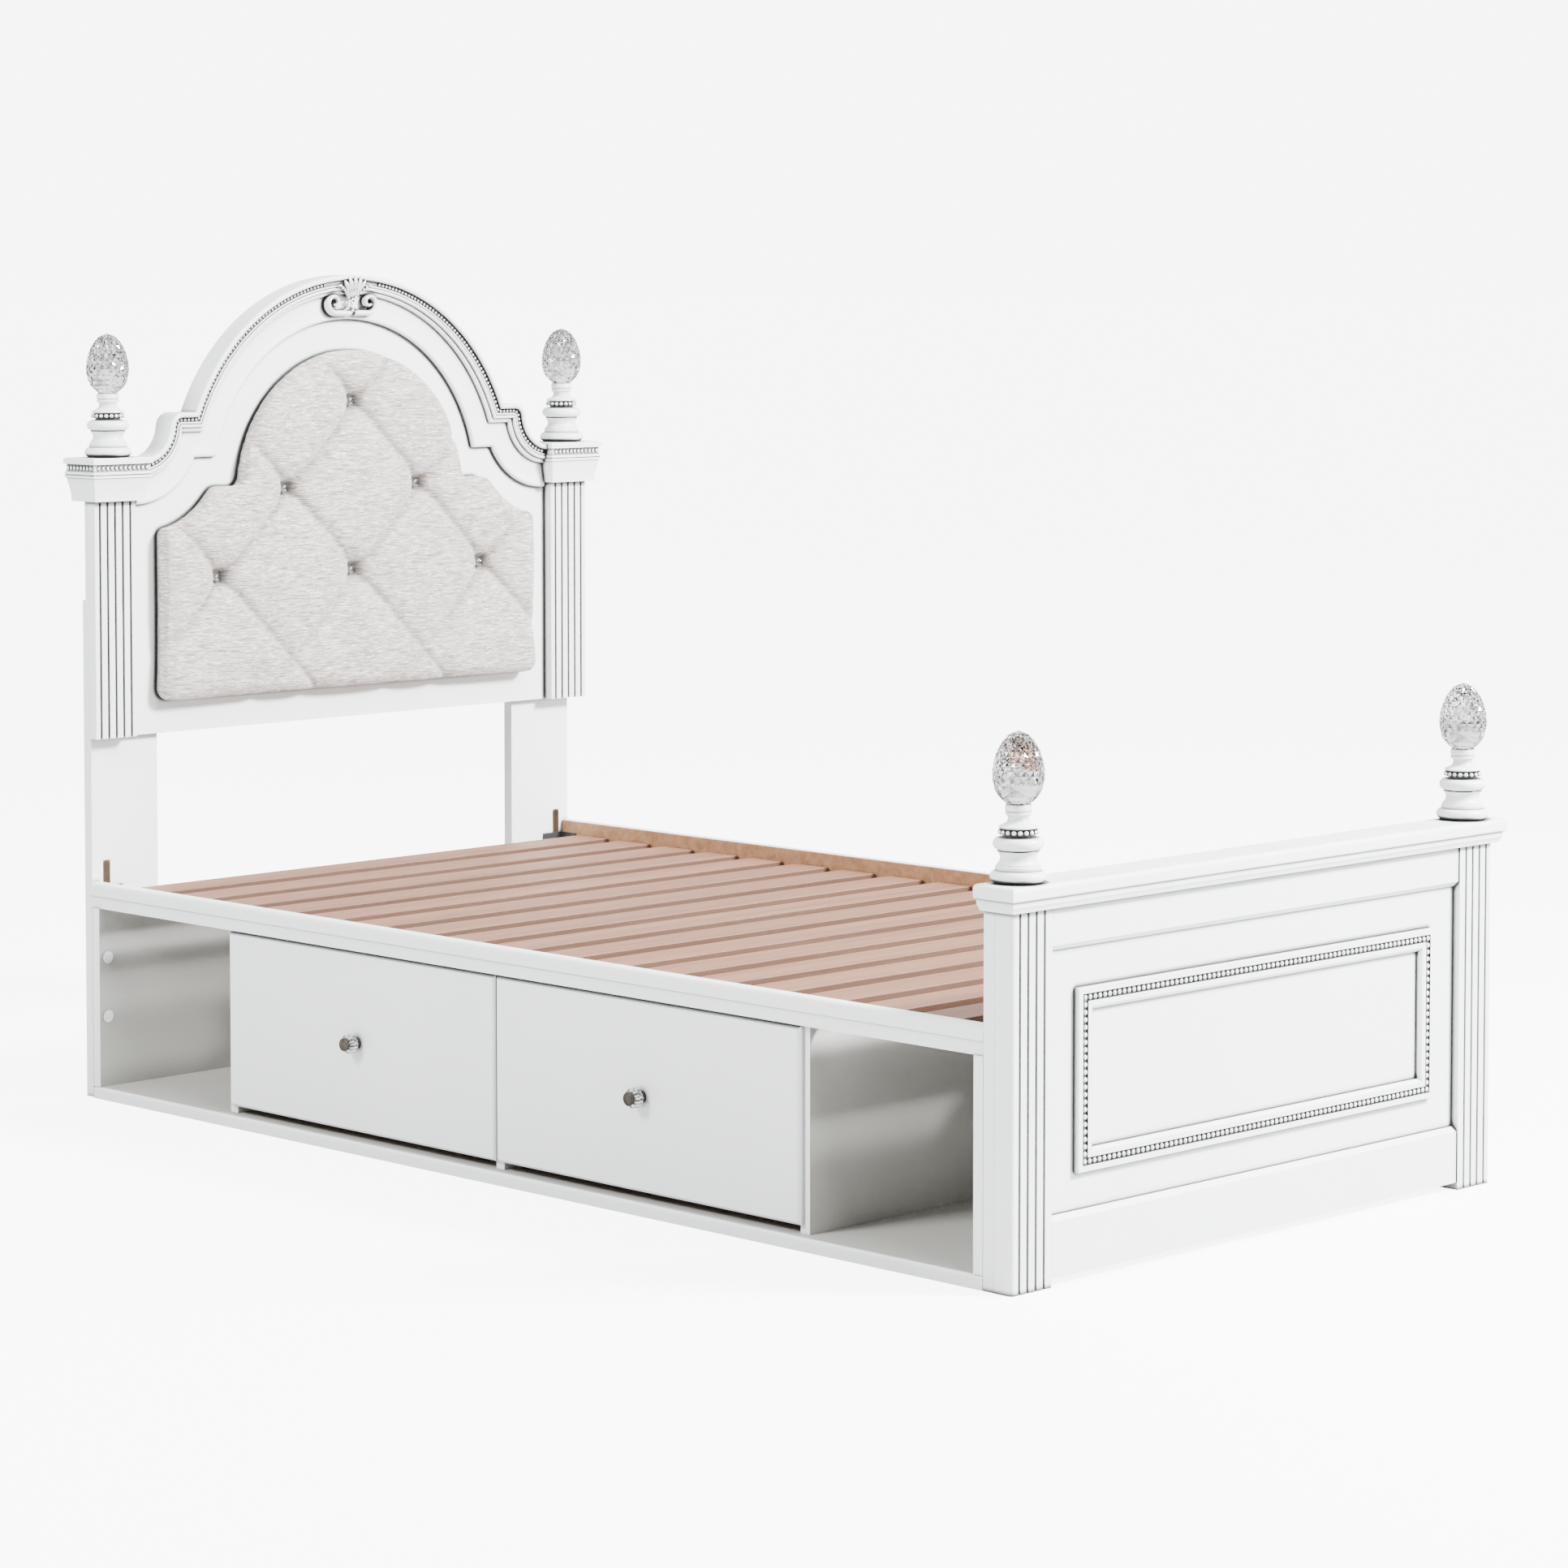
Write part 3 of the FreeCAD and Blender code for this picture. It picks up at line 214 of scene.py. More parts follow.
# %% Sprayed paint group
paint_tree, paint_in, paint_out = new_group(
    "sprayed_film", {"Peel size": 320.0, "Cloud size": 3.0}, ["Cloud", "Peel", "Sheen patch"])
paint_place = put(paint_tree, "TexCoord").outputs["Object"]
cloud = put(paint_tree, "TexNoise", {"Vector": paint_place, "Scale": paint_in.outputs["Cloud size"],
                                     "Detail": 3.0})
peel = put(paint_tree, "TexNoise", {"Vector": paint_place, "Scale": paint_in.outputs["Peel size"],
                                    "Detail": 2.0})
patch = put(paint_tree, "TexNoise", {"Vector": paint_place, "Scale": 14.0, "Detail": 5.0})
paint_tree.links.new(remap(paint_tree, cloud.outputs[0], 0.3, 0.7, 0.0, 1.0), paint_out.inputs["Cloud"])
paint_tree.links.new(peel.outputs[0], paint_out.inputs["Peel"])
paint_tree.links.new(remap(paint_tree, patch.outputs[0], 0.35, 0.65, 0.0, 1.0),
                     paint_out.inputs["Sheen patch"])
print("sprayed film group")

# %% [markdown]
# Painted shade darkens a finish where a point is enclosed: in grooves, between beads and along the
# inner corners of mouldings. This group finds such places by how enclosed a point is.

# %% Painted crevice shade group
crevice_shade_tree, crevice_shade_in, crevice_shade_out = new_group(
    "painted_crevice_shade", {"Reach": 0.012, "Depth": 1.0}, ["Settled"])
# Ambient occlusion gives how enclosed a point is, and that becomes the amount of painted shade.
closeness = crevice_shade_tree.nodes.new("ShaderNodeAmbientOcclusion")
closeness.samples = 8
crevice_shade_tree.links.new(crevice_shade_in.outputs["Reach"], closeness.inputs["Distance"])
openness = remap(crevice_shade_tree, closeness.outputs["AO"], 0.36, 0.93, 0.0, 1.0)
painted_shade = put(crevice_shade_tree, "Math", {0: 1.0, 1: openness}, operation="SUBTRACT")
deep = put(crevice_shade_tree, "Math", {0: painted_shade.outputs[0], 1: crevice_shade_in.outputs["Depth"]},
           operation="MULTIPLY")
crevice_shade_tree.links.new(deep.outputs[0], crevice_shade_out.inputs["Settled"])
print("settled glaze group")

# %% [markdown]
# Sawn and planed wood needs long fibres with darker pores between them, and each board in
# a row should differ a little. The group takes the way the fibres run from a stretch along
# X, Y and Z, and a spacing along Y that tells one board from the next.

# %% Wood fibre group
slat_pitch = 0.10857
one_board = 50.0          # a spacing wider than the bed, for a piece that is a single board
fibre_tree, fibre_in, fibre_out = new_group(
    "wood_fibre", {"Along X": 2.0, "Along Y": 90.0, "Along Z": 90.0, "Board pitch": slat_pitch},
    ["Figure", "Pores", "Board shade"])
fibre_place = put(fibre_tree, "TexCoord").outputs["Object"]
stretch = put(fibre_tree, "CombineXYZ", {"X": fibre_in.outputs["Along X"], "Y": fibre_in.outputs["Along Y"],
                                         "Z": fibre_in.outputs["Along Z"]})
long_place = put(fibre_tree, "VectorMath", {0: fibre_place, 1: stretch.outputs[0]}, operation="MULTIPLY")
apart = put(fibre_tree, "SeparateXYZ", {0: fibre_place})
steps = put(fibre_tree, "Math", {0: apart.outputs["Y"], 1: fibre_in.outputs["Board pitch"]},
            operation="DIVIDE")
shifted = put(fibre_tree, "Math", {0: steps.outputs[0], 1: 0.63}, operation="ADD")
number = put(fibre_tree, "Math", {0: shifted.outputs[0]}, operation="FLOOR")
lot = put(fibre_tree, "TexWhiteNoise", {"W": number.outputs[0]}, noise_dimensions="1D")
offset = put(fibre_tree, "CombineXYZ", {"X": number.outputs[0]})
moved = put(fibre_tree, "VectorMath", {0: long_place.outputs[0], 1: offset.outputs[0]}, operation="ADD")
figure = put(fibre_tree, "TexNoise", {"Vector": moved.outputs[0], "Scale": 0.55, "Detail": 4.0,
                                      "Distortion": 0.6})
pores = put(fibre_tree, "TexNoise", {"Vector": moved.outputs[0], "Scale": 6.0, "Detail": 6.0,
                                     "Roughness": 0.7})
fibre_tree.links.new(remap(fibre_tree, figure.outputs[0], 0.3, 0.7, 0.0, 1.0), fibre_out.inputs["Figure"])
fibre_tree.links.new(remap(fibre_tree, pores.outputs[0], 0.35, 0.7, 0.0, 1.0), fibre_out.inputs["Pores"])
fibre_tree.links.new(lot.outputs["Value"], fibre_out.inputs["Board shade"])
print("wood fibre group")

# %% [markdown]
# The pad is covered in a slubby woven cloth: fine threads both ways, thicker slubs lying
# across it, and a broken fleck of painted sheen. Threads are drawn as two crossed waves.

# %% Woven cloth group
weave_tree, weave_in, weave_out = new_group(
    "slub_weave", {"Threads per metre": 620.0}, ["Threads", "Slub", "Sheen fleck"])
weave_place = put(weave_tree, "TexCoord").outputs["Object"]
wobble = put(weave_tree, "TexNoise", {"Vector": weave_place, "Scale": 60.0, "Detail": 2.0})
bent = put(weave_tree, "VectorMath", {0: wobble.outputs["Color"], "Scale": 0.0022}, operation="SCALE")
cloth_place = put(weave_tree, "VectorMath", {0: weave_place, 1: bent.outputs[0]}, operation="ADD")
warp = put(weave_tree, "TexWave", {"Vector": cloth_place.outputs[0],
                                   "Scale": weave_in.outputs["Threads per metre"]}, bands_direction="X")
weft = put(weave_tree, "TexWave", {"Vector": cloth_place.outputs[0],
                                   "Scale": weave_in.outputs["Threads per metre"]}, bands_direction="Z")
warp.inputs["Distortion"].default_value = 0.4
weft.inputs["Distortion"].default_value = 0.4
crossed = put(weave_tree, "Math", {0: warp.outputs["Fac"], 1: weft.outputs["Fac"]}, operation="MAXIMUM")
slub = stretched_noise(weave_tree, weave_place, (38.0, 38.0, 620.0), 4.0, 0.6)
sheen_fleck = stretched_noise(weave_tree, weave_place, (75.0, 75.0, 520.0), 3.0, 0.7)
weave_tree.links.new(crossed.outputs[0], weave_out.inputs["Threads"])
weave_tree.links.new(remap(weave_tree, slub.outputs[0], 0.38, 0.60, 0.0, 1.0), weave_out.inputs["Slub"])
weave_tree.links.new(remap(weave_tree, sheen_fleck.outputs[0], 0.54, 0.64, 0.0, 1.0), weave_out.inputs["Sheen fleck"])
print("slub weave group")

# %% [markdown]
# A finish is then a group's fields fed to one Principled shader. The helper makes the
# material and hands back its tree and shader; the fields set colour, roughness and bump.

# %% Making a finish
def new_finish(name, **constants):
    """A material whose shader has its plain numbers set on its own sockets."""
    material = bpy.data.materials.new(name)
    material.use_nodes = True
    tree = material.node_tree
    shader = tree.nodes["Principled BSDF"]
    for label, value in constants.items():
        shader.inputs[label.replace("_", " ")].default_value = value
    return material, tree, shader


def use_group(tree, group, **values):
    """Place a node group in a material with its own values."""
    node = tree.nodes.new("ShaderNodeGroup")
    node.node_tree = group
    for label, value in values.items():
        node.inputs[label.replace("_", " ")].default_value = value
    return node


def blend_colours(tree, factor, first, second):
    """A colour between two others, by a field from 0 to 1."""
    mix = tree.nodes.new("ShaderNodeMix")
    mix.data_type = "RGBA"
    for index, value in ((6, first), (7, second)):
        if isinstance(value, bpy.types.NodeSocket):
            tree.links.new(value, mix.inputs[index])
        else:
            mix.inputs[index].default_value = (*value, 1)
    tree.links.new(factor, mix.inputs[0])
    return mix.outputs[2]


def cool_white(tree, film):
    """The bed's white, with the faint cloud of a sprayed film."""
    return blend_colours(tree, film.outputs["Cloud"], (0.80, 0.825, 0.82), (0.845, 0.865, 0.86))


def white_with_painted_shade(tree, film, reach, depth):
    """The same white with near-black painted shade in its corners."""
    crevice_shade = use_group(tree, crevice_shade_tree, Reach=reach, Depth=depth)
    return blend_colours(tree, crevice_shade.outputs["Settled"], cool_white(tree, film), (0.030, 0.032, 0.030))


def patchy_gloss(tree, shader, film, low, high):
    """Roughness that shifts between two values from patch to patch."""
    rough = remap(tree, film.outputs["Sheen patch"], 0, 1, low, high)
    tree.links.new(rough, shader.inputs["Roughness"])


def raise_surface(tree, shader, height, distance, strength=1.0):
    """Bump a shader by a height field, in metres."""
    bump = put(tree, "Bump", {"Height": height, "Distance": distance, "Strength": strength})
    tree.links.new(bump.outputs[0], shader.inputs["Normal"])


print("finish helpers ready")

# %% [markdown]
# The bed's white is a cool satin lacquer over board. It is nearly even, so all of its life
# is in the faint cloud, the peel, a sheen that shifts a little from place to place, and painted shade in
# its corners.

# %% White lacquer
board_shade_reach = 0.010
board_shade_depth = 0.95
white_lacquer, tree, shader = new_finish("white_lacquer", Coat_Weight=0.18, Coat_Roughness=0.22)
film = use_group(tree, paint_tree)
# Painted shade darkens its grooves and inner corners.
tree.links.new(white_with_painted_shade(tree, film, board_shade_reach, board_shade_depth), shader.inputs["Base Color"])
patchy_gloss(tree, shader, film, 0.34, 0.46)
raise_surface(tree, shader, film.outputs["Peel"], 0.00025, 0.35)
print(white_lacquer.name)

# %% [markdown]
# The headboard's face and the footboard, with their mouldings, beads and carving, carry heavier
# painted shade than the rails, legs and drawer fronts, so the same recipe is made again with
# more of it and without the peel. The drawer unit's boards have only a thin grey foil, darkened
# for painted shade in the compartments, and just their front edges are lipped and painted.

# %% Lacquer with painted shade, and unit foil with painted shade
lacquer_with_painted_shade, tree, shader = new_finish("lacquer_with_painted_shade", Coat_Weight=0.18, Coat_Roughness=0.22)
film = use_group(tree, paint_tree)
# Heavier near-black painted shade in grooves, between beads and in inner corners.
tree.links.new(white_with_painted_shade(tree, film, 0.009, 1.9), shader.inputs["Base Color"])
patchy_gloss(tree, shader, film, 0.34, 0.46)

foil_and_painted_shade, tree, shader = new_finish("foil_and_painted_shade")
film = use_group(tree, paint_tree)
lipping = 0.020
paint_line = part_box("storage_base")[0][0] + lipping
place = put(tree, "TexCoord").outputs["Object"]
across = put(tree, "SeparateXYZ", {0: place})
way = put(tree, "SeparateXYZ", {0: put(tree, "NewGeometry").outputs["Normal"]})
ahead = put(tree, "Math", {0: way.outputs["X"], 1: -0.5}, operation="LESS_THAN")
edge = put(tree, "Math", {0: across.outputs["X"], 1: paint_line}, operation="LESS_THAN")
painted = put(tree, "Math", {0: ahead.outputs[0], 1: edge.outputs[0]}, operation="MULTIPLY")
white = cool_white(tree, film)
# The grey is the foil's colour, darkened to carry painted shade inside the compartments.
foil_grey_and_shade = blend_colours(tree, film.outputs["Cloud"], (0.37, 0.368, 0.345), (0.42, 0.418, 0.392))
tree.links.new(blend_colours(tree, painted.outputs[0], foil_grey_and_shade, white), shader.inputs["Base Color"])
patchy_gloss(tree, shader, film, 0.72, 0.82)
raise_surface(tree, shader, film.outputs["Peel"], 0.00025, 0.35)
print(lacquer_with_painted_shade.name, foil_and_painted_shade.name)

# %% [markdown]
# The slats are bare pale wood with a pinkish cast, each board a shade apart from the next.
# Raw brown fibreboard and the drawer boxes share the same fibre group, with other values.

# %% Bare woods
def bare_wood(name, dark, light, pore_depth, along, pitch=slat_pitch, rough=(0.5, 0.68), edge=1.0):
    """A wood finish from the fibre group; edge below 1 paints shade on the faces that don't face up."""
    material, tree, shader = new_finish(name)
    fibre = use_group(tree, fibre_tree, Along_X=along[0], Along_Y=along[1], Along_Z=along[2],
                      Board_pitch=pitch)
    body = blend_colours(tree, fibre.outputs["Figure"], dark, light)
    tint = remap(tree, fibre.outputs["Board shade"], 0, 1, 0.0, 0.55)
    body = blend_colours(tree, tint, body, [0.5 * (a + b) * 0.86 for a, b in zip(dark, light)])
    veins = remap(tree, fibre.outputs["Pores"], 0, 1, 0.0, 0.45)
    body = blend_colours(tree, veins, body, [c * 0.72 for c in dark])
    if edge < 1.0:
        way = put(tree, "SeparateXYZ", {0: put(tree, "NewGeometry").outputs["Normal"]})
        # Painted shade on sides and undersides, darker the less a face looks up.
        side_shade = remap(tree, way.outputs["Z"], 0.3, 0.8, 1.0 - edge, 0.0)
        body = blend_colours(tree, side_shade, body, [c * 0.25 for c in dark])
    tree.links.new(body, shader.inputs["Base Color"])
    tree.links.new(remap(tree, fibre.outputs["Pores"], 0, 1, *rough), shader.inputs["Roughness"])
    raise_surface(tree, shader, fibre.outputs["Pores"], pore_depth, 0.5)
    return material


# The slats' sides carry painted shade.
slat_wood = bare_wood("slat_wood", (0.150, 0.058, 0.027), (0.262, 0.118, 0.061), 0.0004, (2.0, 90.0, 90.0),
                      edge=0.3)
raw_board = bare_wood("raw_board", (0.28, 0.14, 0.062), (0.40, 0.215, 0.105), 0.0003, (160.0, 160.0, 160.0),
                      one_board, (0.7, 0.85))
box_wood = bare_wood("box_wood", (0.55, 0.42, 0.29), (0.70, 0.57, 0.42), 0.0003, (3.0, 40.0, 120.0),
                     one_board)
print(slat_wood.name, raw_board.name, box_wood.name)

# %% [markdown]
# The cloth is a light warm grey. Slubs lighten it in short level strokes, the fleck is a
# painted sheen that is also smoother than the rest, painted shade darkens it in its creases,
# and a soft sheen stands for the nap of the yarn.

# %% Pad cloth
pad_cloth, tree, shader = new_finish("pad_cloth", Sheen_Weight=0.35, Sheen_Roughness=0.45)
weave = use_group(tree, weave_tree)
crevice_shade = use_group(tree, crevice_shade_tree, Reach=0.022, Depth=0.8)
cloth = blend_colours(tree, weave.outputs["Slub"], (0.21, 0.175, 0.15), (0.62, 0.575, 0.545))
shade = remap(tree, weave.outputs["Threads"], 0, 1, 0.35, 0.0)
cloth = blend_colours(tree, shade, cloth, (0.27, 0.24, 0.22))
# Painted sheen: the fleck lightens the colour towards near white.
painted_sheen = remap(tree, weave.outputs["Sheen fleck"], 0, 1, 0.0, 0.85)
cloth = blend_colours(tree, painted_sheen, cloth, (0.92, 0.915, 0.905))
# Painted shade darkens the cloth in its creases and round the buttons.
cloth = blend_colours(tree, crevice_shade.outputs["Settled"], cloth, (0.055, 0.047, 0.04))
tree.links.new(cloth, shader.inputs["Base Color"])
tree.links.new(remap(tree, weave.outputs["Sheen fleck"], 0, 1, 0.82, 0.45), shader.inputs["Roughness"])
raise_surface(tree, shader, weave.outputs["Threads"], 0.0005, 0.6)
print(pad_cloth.name)

# %% [markdown]
# Crystal is plain clear glass of a high index, cut in facets. Each facet carries its own
# number, written by the maker of the piece, and the number says how dark that facet's colour
# is: a painted reflection that leaves some facets clear and darkens others. The fine noise in
# its roughness is the polish left by the wheel.

# %% Crystal, metals and coat
cut_crystal, tree, shader = new_finish("cut_crystal", Transmission_Weight=1.0, IOR=1.58)
film = use_group(tree, paint_tree, Cloud_size=30.0)
facet = put(tree, "Attribute", attribute_name="facet")
# Painted reflection: facets with low numbers are darkened in colour, the rest stay clear.
painted_reflection_mask = remap(tree, facet.outputs["Fac"], 0.20, 0.46, 0.0, 1.0)
clear = blend_colours(tree, painted_reflection_mask, (0.20, 0.195, 0.19), (1.0, 1.0, 1.0))
tree.links.new(clear, shader.inputs["Base Color"])
patchy_gloss(tree, shader, film, 0.0, 0.03)
raise_surface(tree, shader, film.outputs["Cloud"], 0.0006, 0.3)


def plain_metal(name, dark, light, rough):
    """A metal with a faintly clouded colour and a brushed gloss."""
    material, tree, shader = new_finish(name, Metallic=1.0)
    film = use_group(tree, paint_tree, Peel_size=900.0, Cloud_size=60.0)
    tree.links.new(blend_colours(tree, film.outputs["Cloud"], dark, light), shader.inputs["Base Color"])
    patchy_gloss(tree, shader, film, *rough)
    raise_surface(tree, shader, film.outputs["Peel"], 0.0001, 0.4)
    return material


satin_nickel = plain_metal("satin_nickel", (0.035, 0.030, 0.026), (0.10, 0.088, 0.075), (0.28, 0.42))
zinc_plate = plain_metal("zinc_plate", (0.50, 0.51, 0.52), (0.66, 0.67, 0.68), (0.30, 0.46))


def plain_coat(name, dark, light, rough):
    """A moulded or powder-coated skin, finely pebbled."""
    material, tree, shader = new_finish(name)
    film = use_group(tree, paint_tree, Peel_size=700.0, Cloud_size=20.0)
    tree.links.new(blend_colours(tree, film.outputs["Cloud"], dark, light), shader.inputs["Base Color"])
    patchy_gloss(tree, shader, film, *rough)
    raise_surface(tree, shader, film.outputs["Peel"], 0.0002, 0.6)
    return material


black_coat = plain_coat("black_coat", (0.018, 0.018, 0.019), (0.035, 0.035, 0.036), (0.4, 0.55))
print("crystal, metals and coat mixed")

# %% [markdown]
# Each ready-made node takes the finish of its slot. Then the headboard's face and the
# footboard take the heavier painted shade, and the drawer unit its foil with painted shade. The right rail
# is the odd
# one: only its outside is painted, so the inner face shows raw brown board.

# %% Dress the joinery
finish_of = {"painted_wood": white_lacquer, "slat_wood": slat_wood, "board_brown": raw_board,
             "box_wood": box_wood, "cushion_fabric": pad_cloth, "crystal": cut_crystal,
             "knob_nickel": satin_nickel, "runner_steel": zinc_plate, "black_steel": black_coat,
             "cap_plastic": lacquer_with_painted_shade}
slot_of = {part["node"]: part["material_slot"] for part in frame["record"]["subparts"]}


def dress(obj, material):
    """Give a piece one material."""
    obj.data.materials.clear()
    obj.data.materials.append(material)


for name, obj in nodes.items():
    dress(obj, finish_of[slot_of[name]])
# These pieces, and those of the cap_plastic slot, take the lacquer with heavier painted shade.
shade_painted_parts = ("crown", "capital", "pilaster", "finial_beads", "headboard_panel", "footboard")
for name, obj in nodes.items():
    if name.startswith(shade_painted_parts) and slot_of[name] != "crystal":
        dress(obj, lacquer_with_painted_shade)
    if name.startswith("storage_"):
        dress(obj, foil_and_painted_shade)
print("dressed", len(nodes), "nodes")

# %% Two-faced rail finish
two_faced, tree, shader = new_finish("two_faced_rail", Coat_Weight=0.1)
inner_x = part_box("side_rail_right")[0][0]
face_skin = 0.0012
place = put(tree, "TexCoord").outputs["Object"]
across = put(tree, "SeparateXYZ", {0: place})
inside = put(tree, "Math", {0: across.outputs["X"], 1: inner_x + face_skin}, operation="LESS_THAN")
film = use_group(tree, paint_tree)
grit = use_group(tree, fibre_tree, Along_X=150.0, Along_Y=150.0, Along_Z=150.0,
                 Board_pitch=one_board)
white = cool_white(tree, film)
brown = blend_colours(tree, grit.outputs["Figure"], (0.28, 0.14, 0.062), (0.42, 0.23, 0.115))
tree.links.new(blend_colours(tree, inside.outputs[0], white, brown), shader.inputs["Base Color"])
tree.links.new(remap(tree, inside.outputs[0], 0, 1, 0.4, 0.78), shader.inputs["Roughness"])
raise_surface(tree, shader, film.outputs["Peel"], 0.00025, 0.4)
dress(nodes["side_rail_right"], two_faced)
print("rail's inner face at x =", round(inner_x, 4))

# %% [markdown]
# The hook slots in the headboard legs were cut after painting, so their walls show the
# brown board too. The same idea works here, with a small box round each slot.

# %% Bare slot walls
slotted, tree, shader = new_finish("slotted_leg", Coat_Weight=0.18, Coat_Roughness=0.22)
leg_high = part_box("headboard_leg_right")[1]
slot_from_edge = 0.02875
slot_half_width = 0.0073
slot_height = 0.342
slot_half_height = 0.0427
slot_middle = leg_high[0] - slot_from_edge
place = put(tree, "TexCoord").outputs["Object"]
apart = put(tree, "SeparateXYZ", {0: place})
reach_x = put(tree, "Math", {0: apart.outputs["X"]}, operation="ABSOLUTE")
off_x = put(tree, "Math", {0: reach_x.outputs[0], 1: slot_middle}, operation="SUBTRACT")
near_x = put(tree, "Math", {0: off_x.outputs[0], 1: 0.0, 2: slot_half_width}, operation="COMPARE")
near_z = put(tree, "Math", {0: apart.outputs["Z"], 1: slot_height, 2: slot_half_height},
             operation="COMPARE")
within = put(tree, "Math", {0: near_x.outputs[0], 1: near_z.outputs[0]}, operation="MULTIPLY")
film = use_group(tree, paint_tree)
# Painted shade darkens the leg's grooves and corners, as on the white lacquer.
white = white_with_painted_shade(tree, film, board_shade_reach, board_shade_depth)
bare = blend_colours(tree, within.outputs[0], white, (0.22, 0.12, 0.06))
tree.links.new(bare, shader.inputs["Base Color"])
patchy_gloss(tree, shader, film, 0.34, 0.46)
raise_surface(tree, shader, film.outputs["Peel"], 0.00025, 0.35)
for side in ("left", "right"):
    dress(nodes["headboard_leg_" + side], slotted)
print("slot centre at x =", round(slot_middle, 4))

# %% [markdown]
# The new pieces are shaped in edit mode or by moving their points. These helpers take up one
# piece, weld it, copy it and join it to others, and at the end they settle the piece so that
# its place is in its mesh and its object is at the origin.

# %% Modelling helpers
def only(obj):
    """Select one piece and make it active."""
    deselect()
    obj.select_set(True)
    bpy.context.view_layer.objects.active = obj


def settle(obj, name, material, crease):
    """Name and dress a piece, shade it, and put its place into its mesh."""
    only(obj)
    bpy.ops.object.transform_apply(location=True, rotation=True, scale=True)
    if crease:
        bpy.ops.object.shade_smooth_by_angle(angle=math.radians(crease))
    else:
        bpy.ops.object.shade_flat()
    obj.name = name
    dress(obj, material)
    return obj


def weld(obj, distance=0.00002):
    """Close doubles and point every face outwards."""
    only(obj)
    bpy.ops.object.mode_set(mode="EDIT")
    bpy.ops.mesh.select_all(action="SELECT")
    bpy.ops.mesh.remove_doubles(threshold=distance)
    bpy.ops.mesh.normals_make_consistent(inside=False)
    bpy.ops.object.mode_set(mode="OBJECT")


def copy_to(obj, name, shift):
    """A copy with its own mesh, moved."""
    twin = obj.copy()
    twin.data = obj.data.copy()
    bpy.context.scene.collection.objects.link(twin)
    twin.data.transform(Matrix.Translation(shift))
    twin.name = name
    return twin


def number_facets(obj, turn=0.618):
    """Write a number from 0 to 1 on each face, well mixed between neighbours."""
    facet = obj.data.attributes.new("facet", "FLOAT", "FACE")
    facet.data.foreach_set("value", [(i * turn) % 1.0 for i in range(len(obj.data.polygons))])


def join(pieces):
    """Several pieces into the first one."""
    deselect()
    for piece in pieces:
        piece.select_set(True)
    bpy.context.view_layer.objects.active = pieces[0]
    bpy.ops.object.join()
    return pieces[0]


print("modelling helpers ready")

# %% [markdown]
# A turned piece grows on the lathe from its foot up. In edit mode that is one disc whose
# face is extruded a little and resized, over and over, following the turner's profile of
# height and radius. For cut glass each ring may also be turned by half a facet.

# %% The lathe
def lathe(profile, sides, twist=lambda height: 0.0):
    """Turn a profile [(radius, height)] from one disc, standing on the origin."""
    deselect()
    radius, height = profile[0]
    bpy.ops.mesh.primitive_circle_add(vertices=sides, radius=radius, fill_type="NGON",
                                      location=(0, 0, height))
    obj = bpy.context.object
    bpy.ops.object.transform_apply(location=True)
    bpy.ops.object.mode_set(mode="EDIT")
    bpy.ops.mesh.select_mode(type="FACE")
    bpy.ops.mesh.select_all(action="SELECT")
    for next_radius, next_height in profile[1:]:
        centre = (0, 0, next_height)
        bpy.ops.mesh.extrude_region_move(
            TRANSFORM_OT_translate={"value": (0, 0, next_height - height)})
        scale = next_radius / radius
        bpy.ops.transform.resize(value=(scale, scale, 1), center_override=centre)
        turn = twist(next_height)
        if turn:
            bpy.ops.transform.rotate(value=turn, orient_axis="Z", center_override=centre)
        radius, height = next_radius, next_height
    bpy.ops.object.mode_set(mode="OBJECT")
    weld(obj)
    return obj


def bow(centre_r, centre_h, size, start, end, steps=9):
    """Points on a round bead or hollow of a profile, angles in degrees."""
    points = []
    for i in range(steps + 1):
        a = math.radians(start + (end - start) * i / steps)
        points.append(((centre_r + size * math.cos(a)) / 1000, (centre_h + size * math.sin(a)) / 1000))
    return points


print("lathe ready")

# %% [markdown]
# Under each crystal is a turned and painted foot: a fat ring, a hollow, a second ring, a
# plain band for the beads, and a waisted neck with a grooved disc on top.

# %% Turned feet
foot_profile = [(0.0265, 0.0)] + bow(29.4, 8.25, 8.25, -78, 84)
foot_profile += [(0.0302, 0.0172), (0.0306, 0.0196), (0.0300, 0.0222), (0.0284, 0.0236)]
foot_profile += bow(34.2, 33.2, 10.2, 234, 126)
foot_profile += bow(25.4, 51.5, 8.3, -78, 84)
foot_profile += [(0.0203, 0.0605), (0.0203, 0.0706), (0.0250, 0.0714), (0.0262, 0.0726),
                 (0.0258, 0.0742), (0.0226, 0.0758), (0.0186, 0.0774), (0.0158, 0.0796),
                 (0.0142, 0.0826), (0.0138, 0.0852), (0.0146, 0.0874), (0.0164, 0.0888),
                 (0.0177, 0.0902), (0.0176, 0.0922), (0.0166, 0.0934), (0.0176, 0.0946),
                 (0.0179, 0.0976), (0.0177, 0.1010), (0.0166, 0.1028)]
foot_master = lathe(foot_profile, 56)
# The feet take the lacquer with painted shade in their grooves.
settle(foot_master, "turned_foot", lacquer_with_painted_shade, 35)


def middle_of(node, side):
    """The axis and foot of one finial, from its node's box."""
    low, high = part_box(node)
    width = high[1] - low[1]
    x = side * (high[0] - width / 2)
    return Vector((x, (low[1] + high[1]) / 2, low[2]))


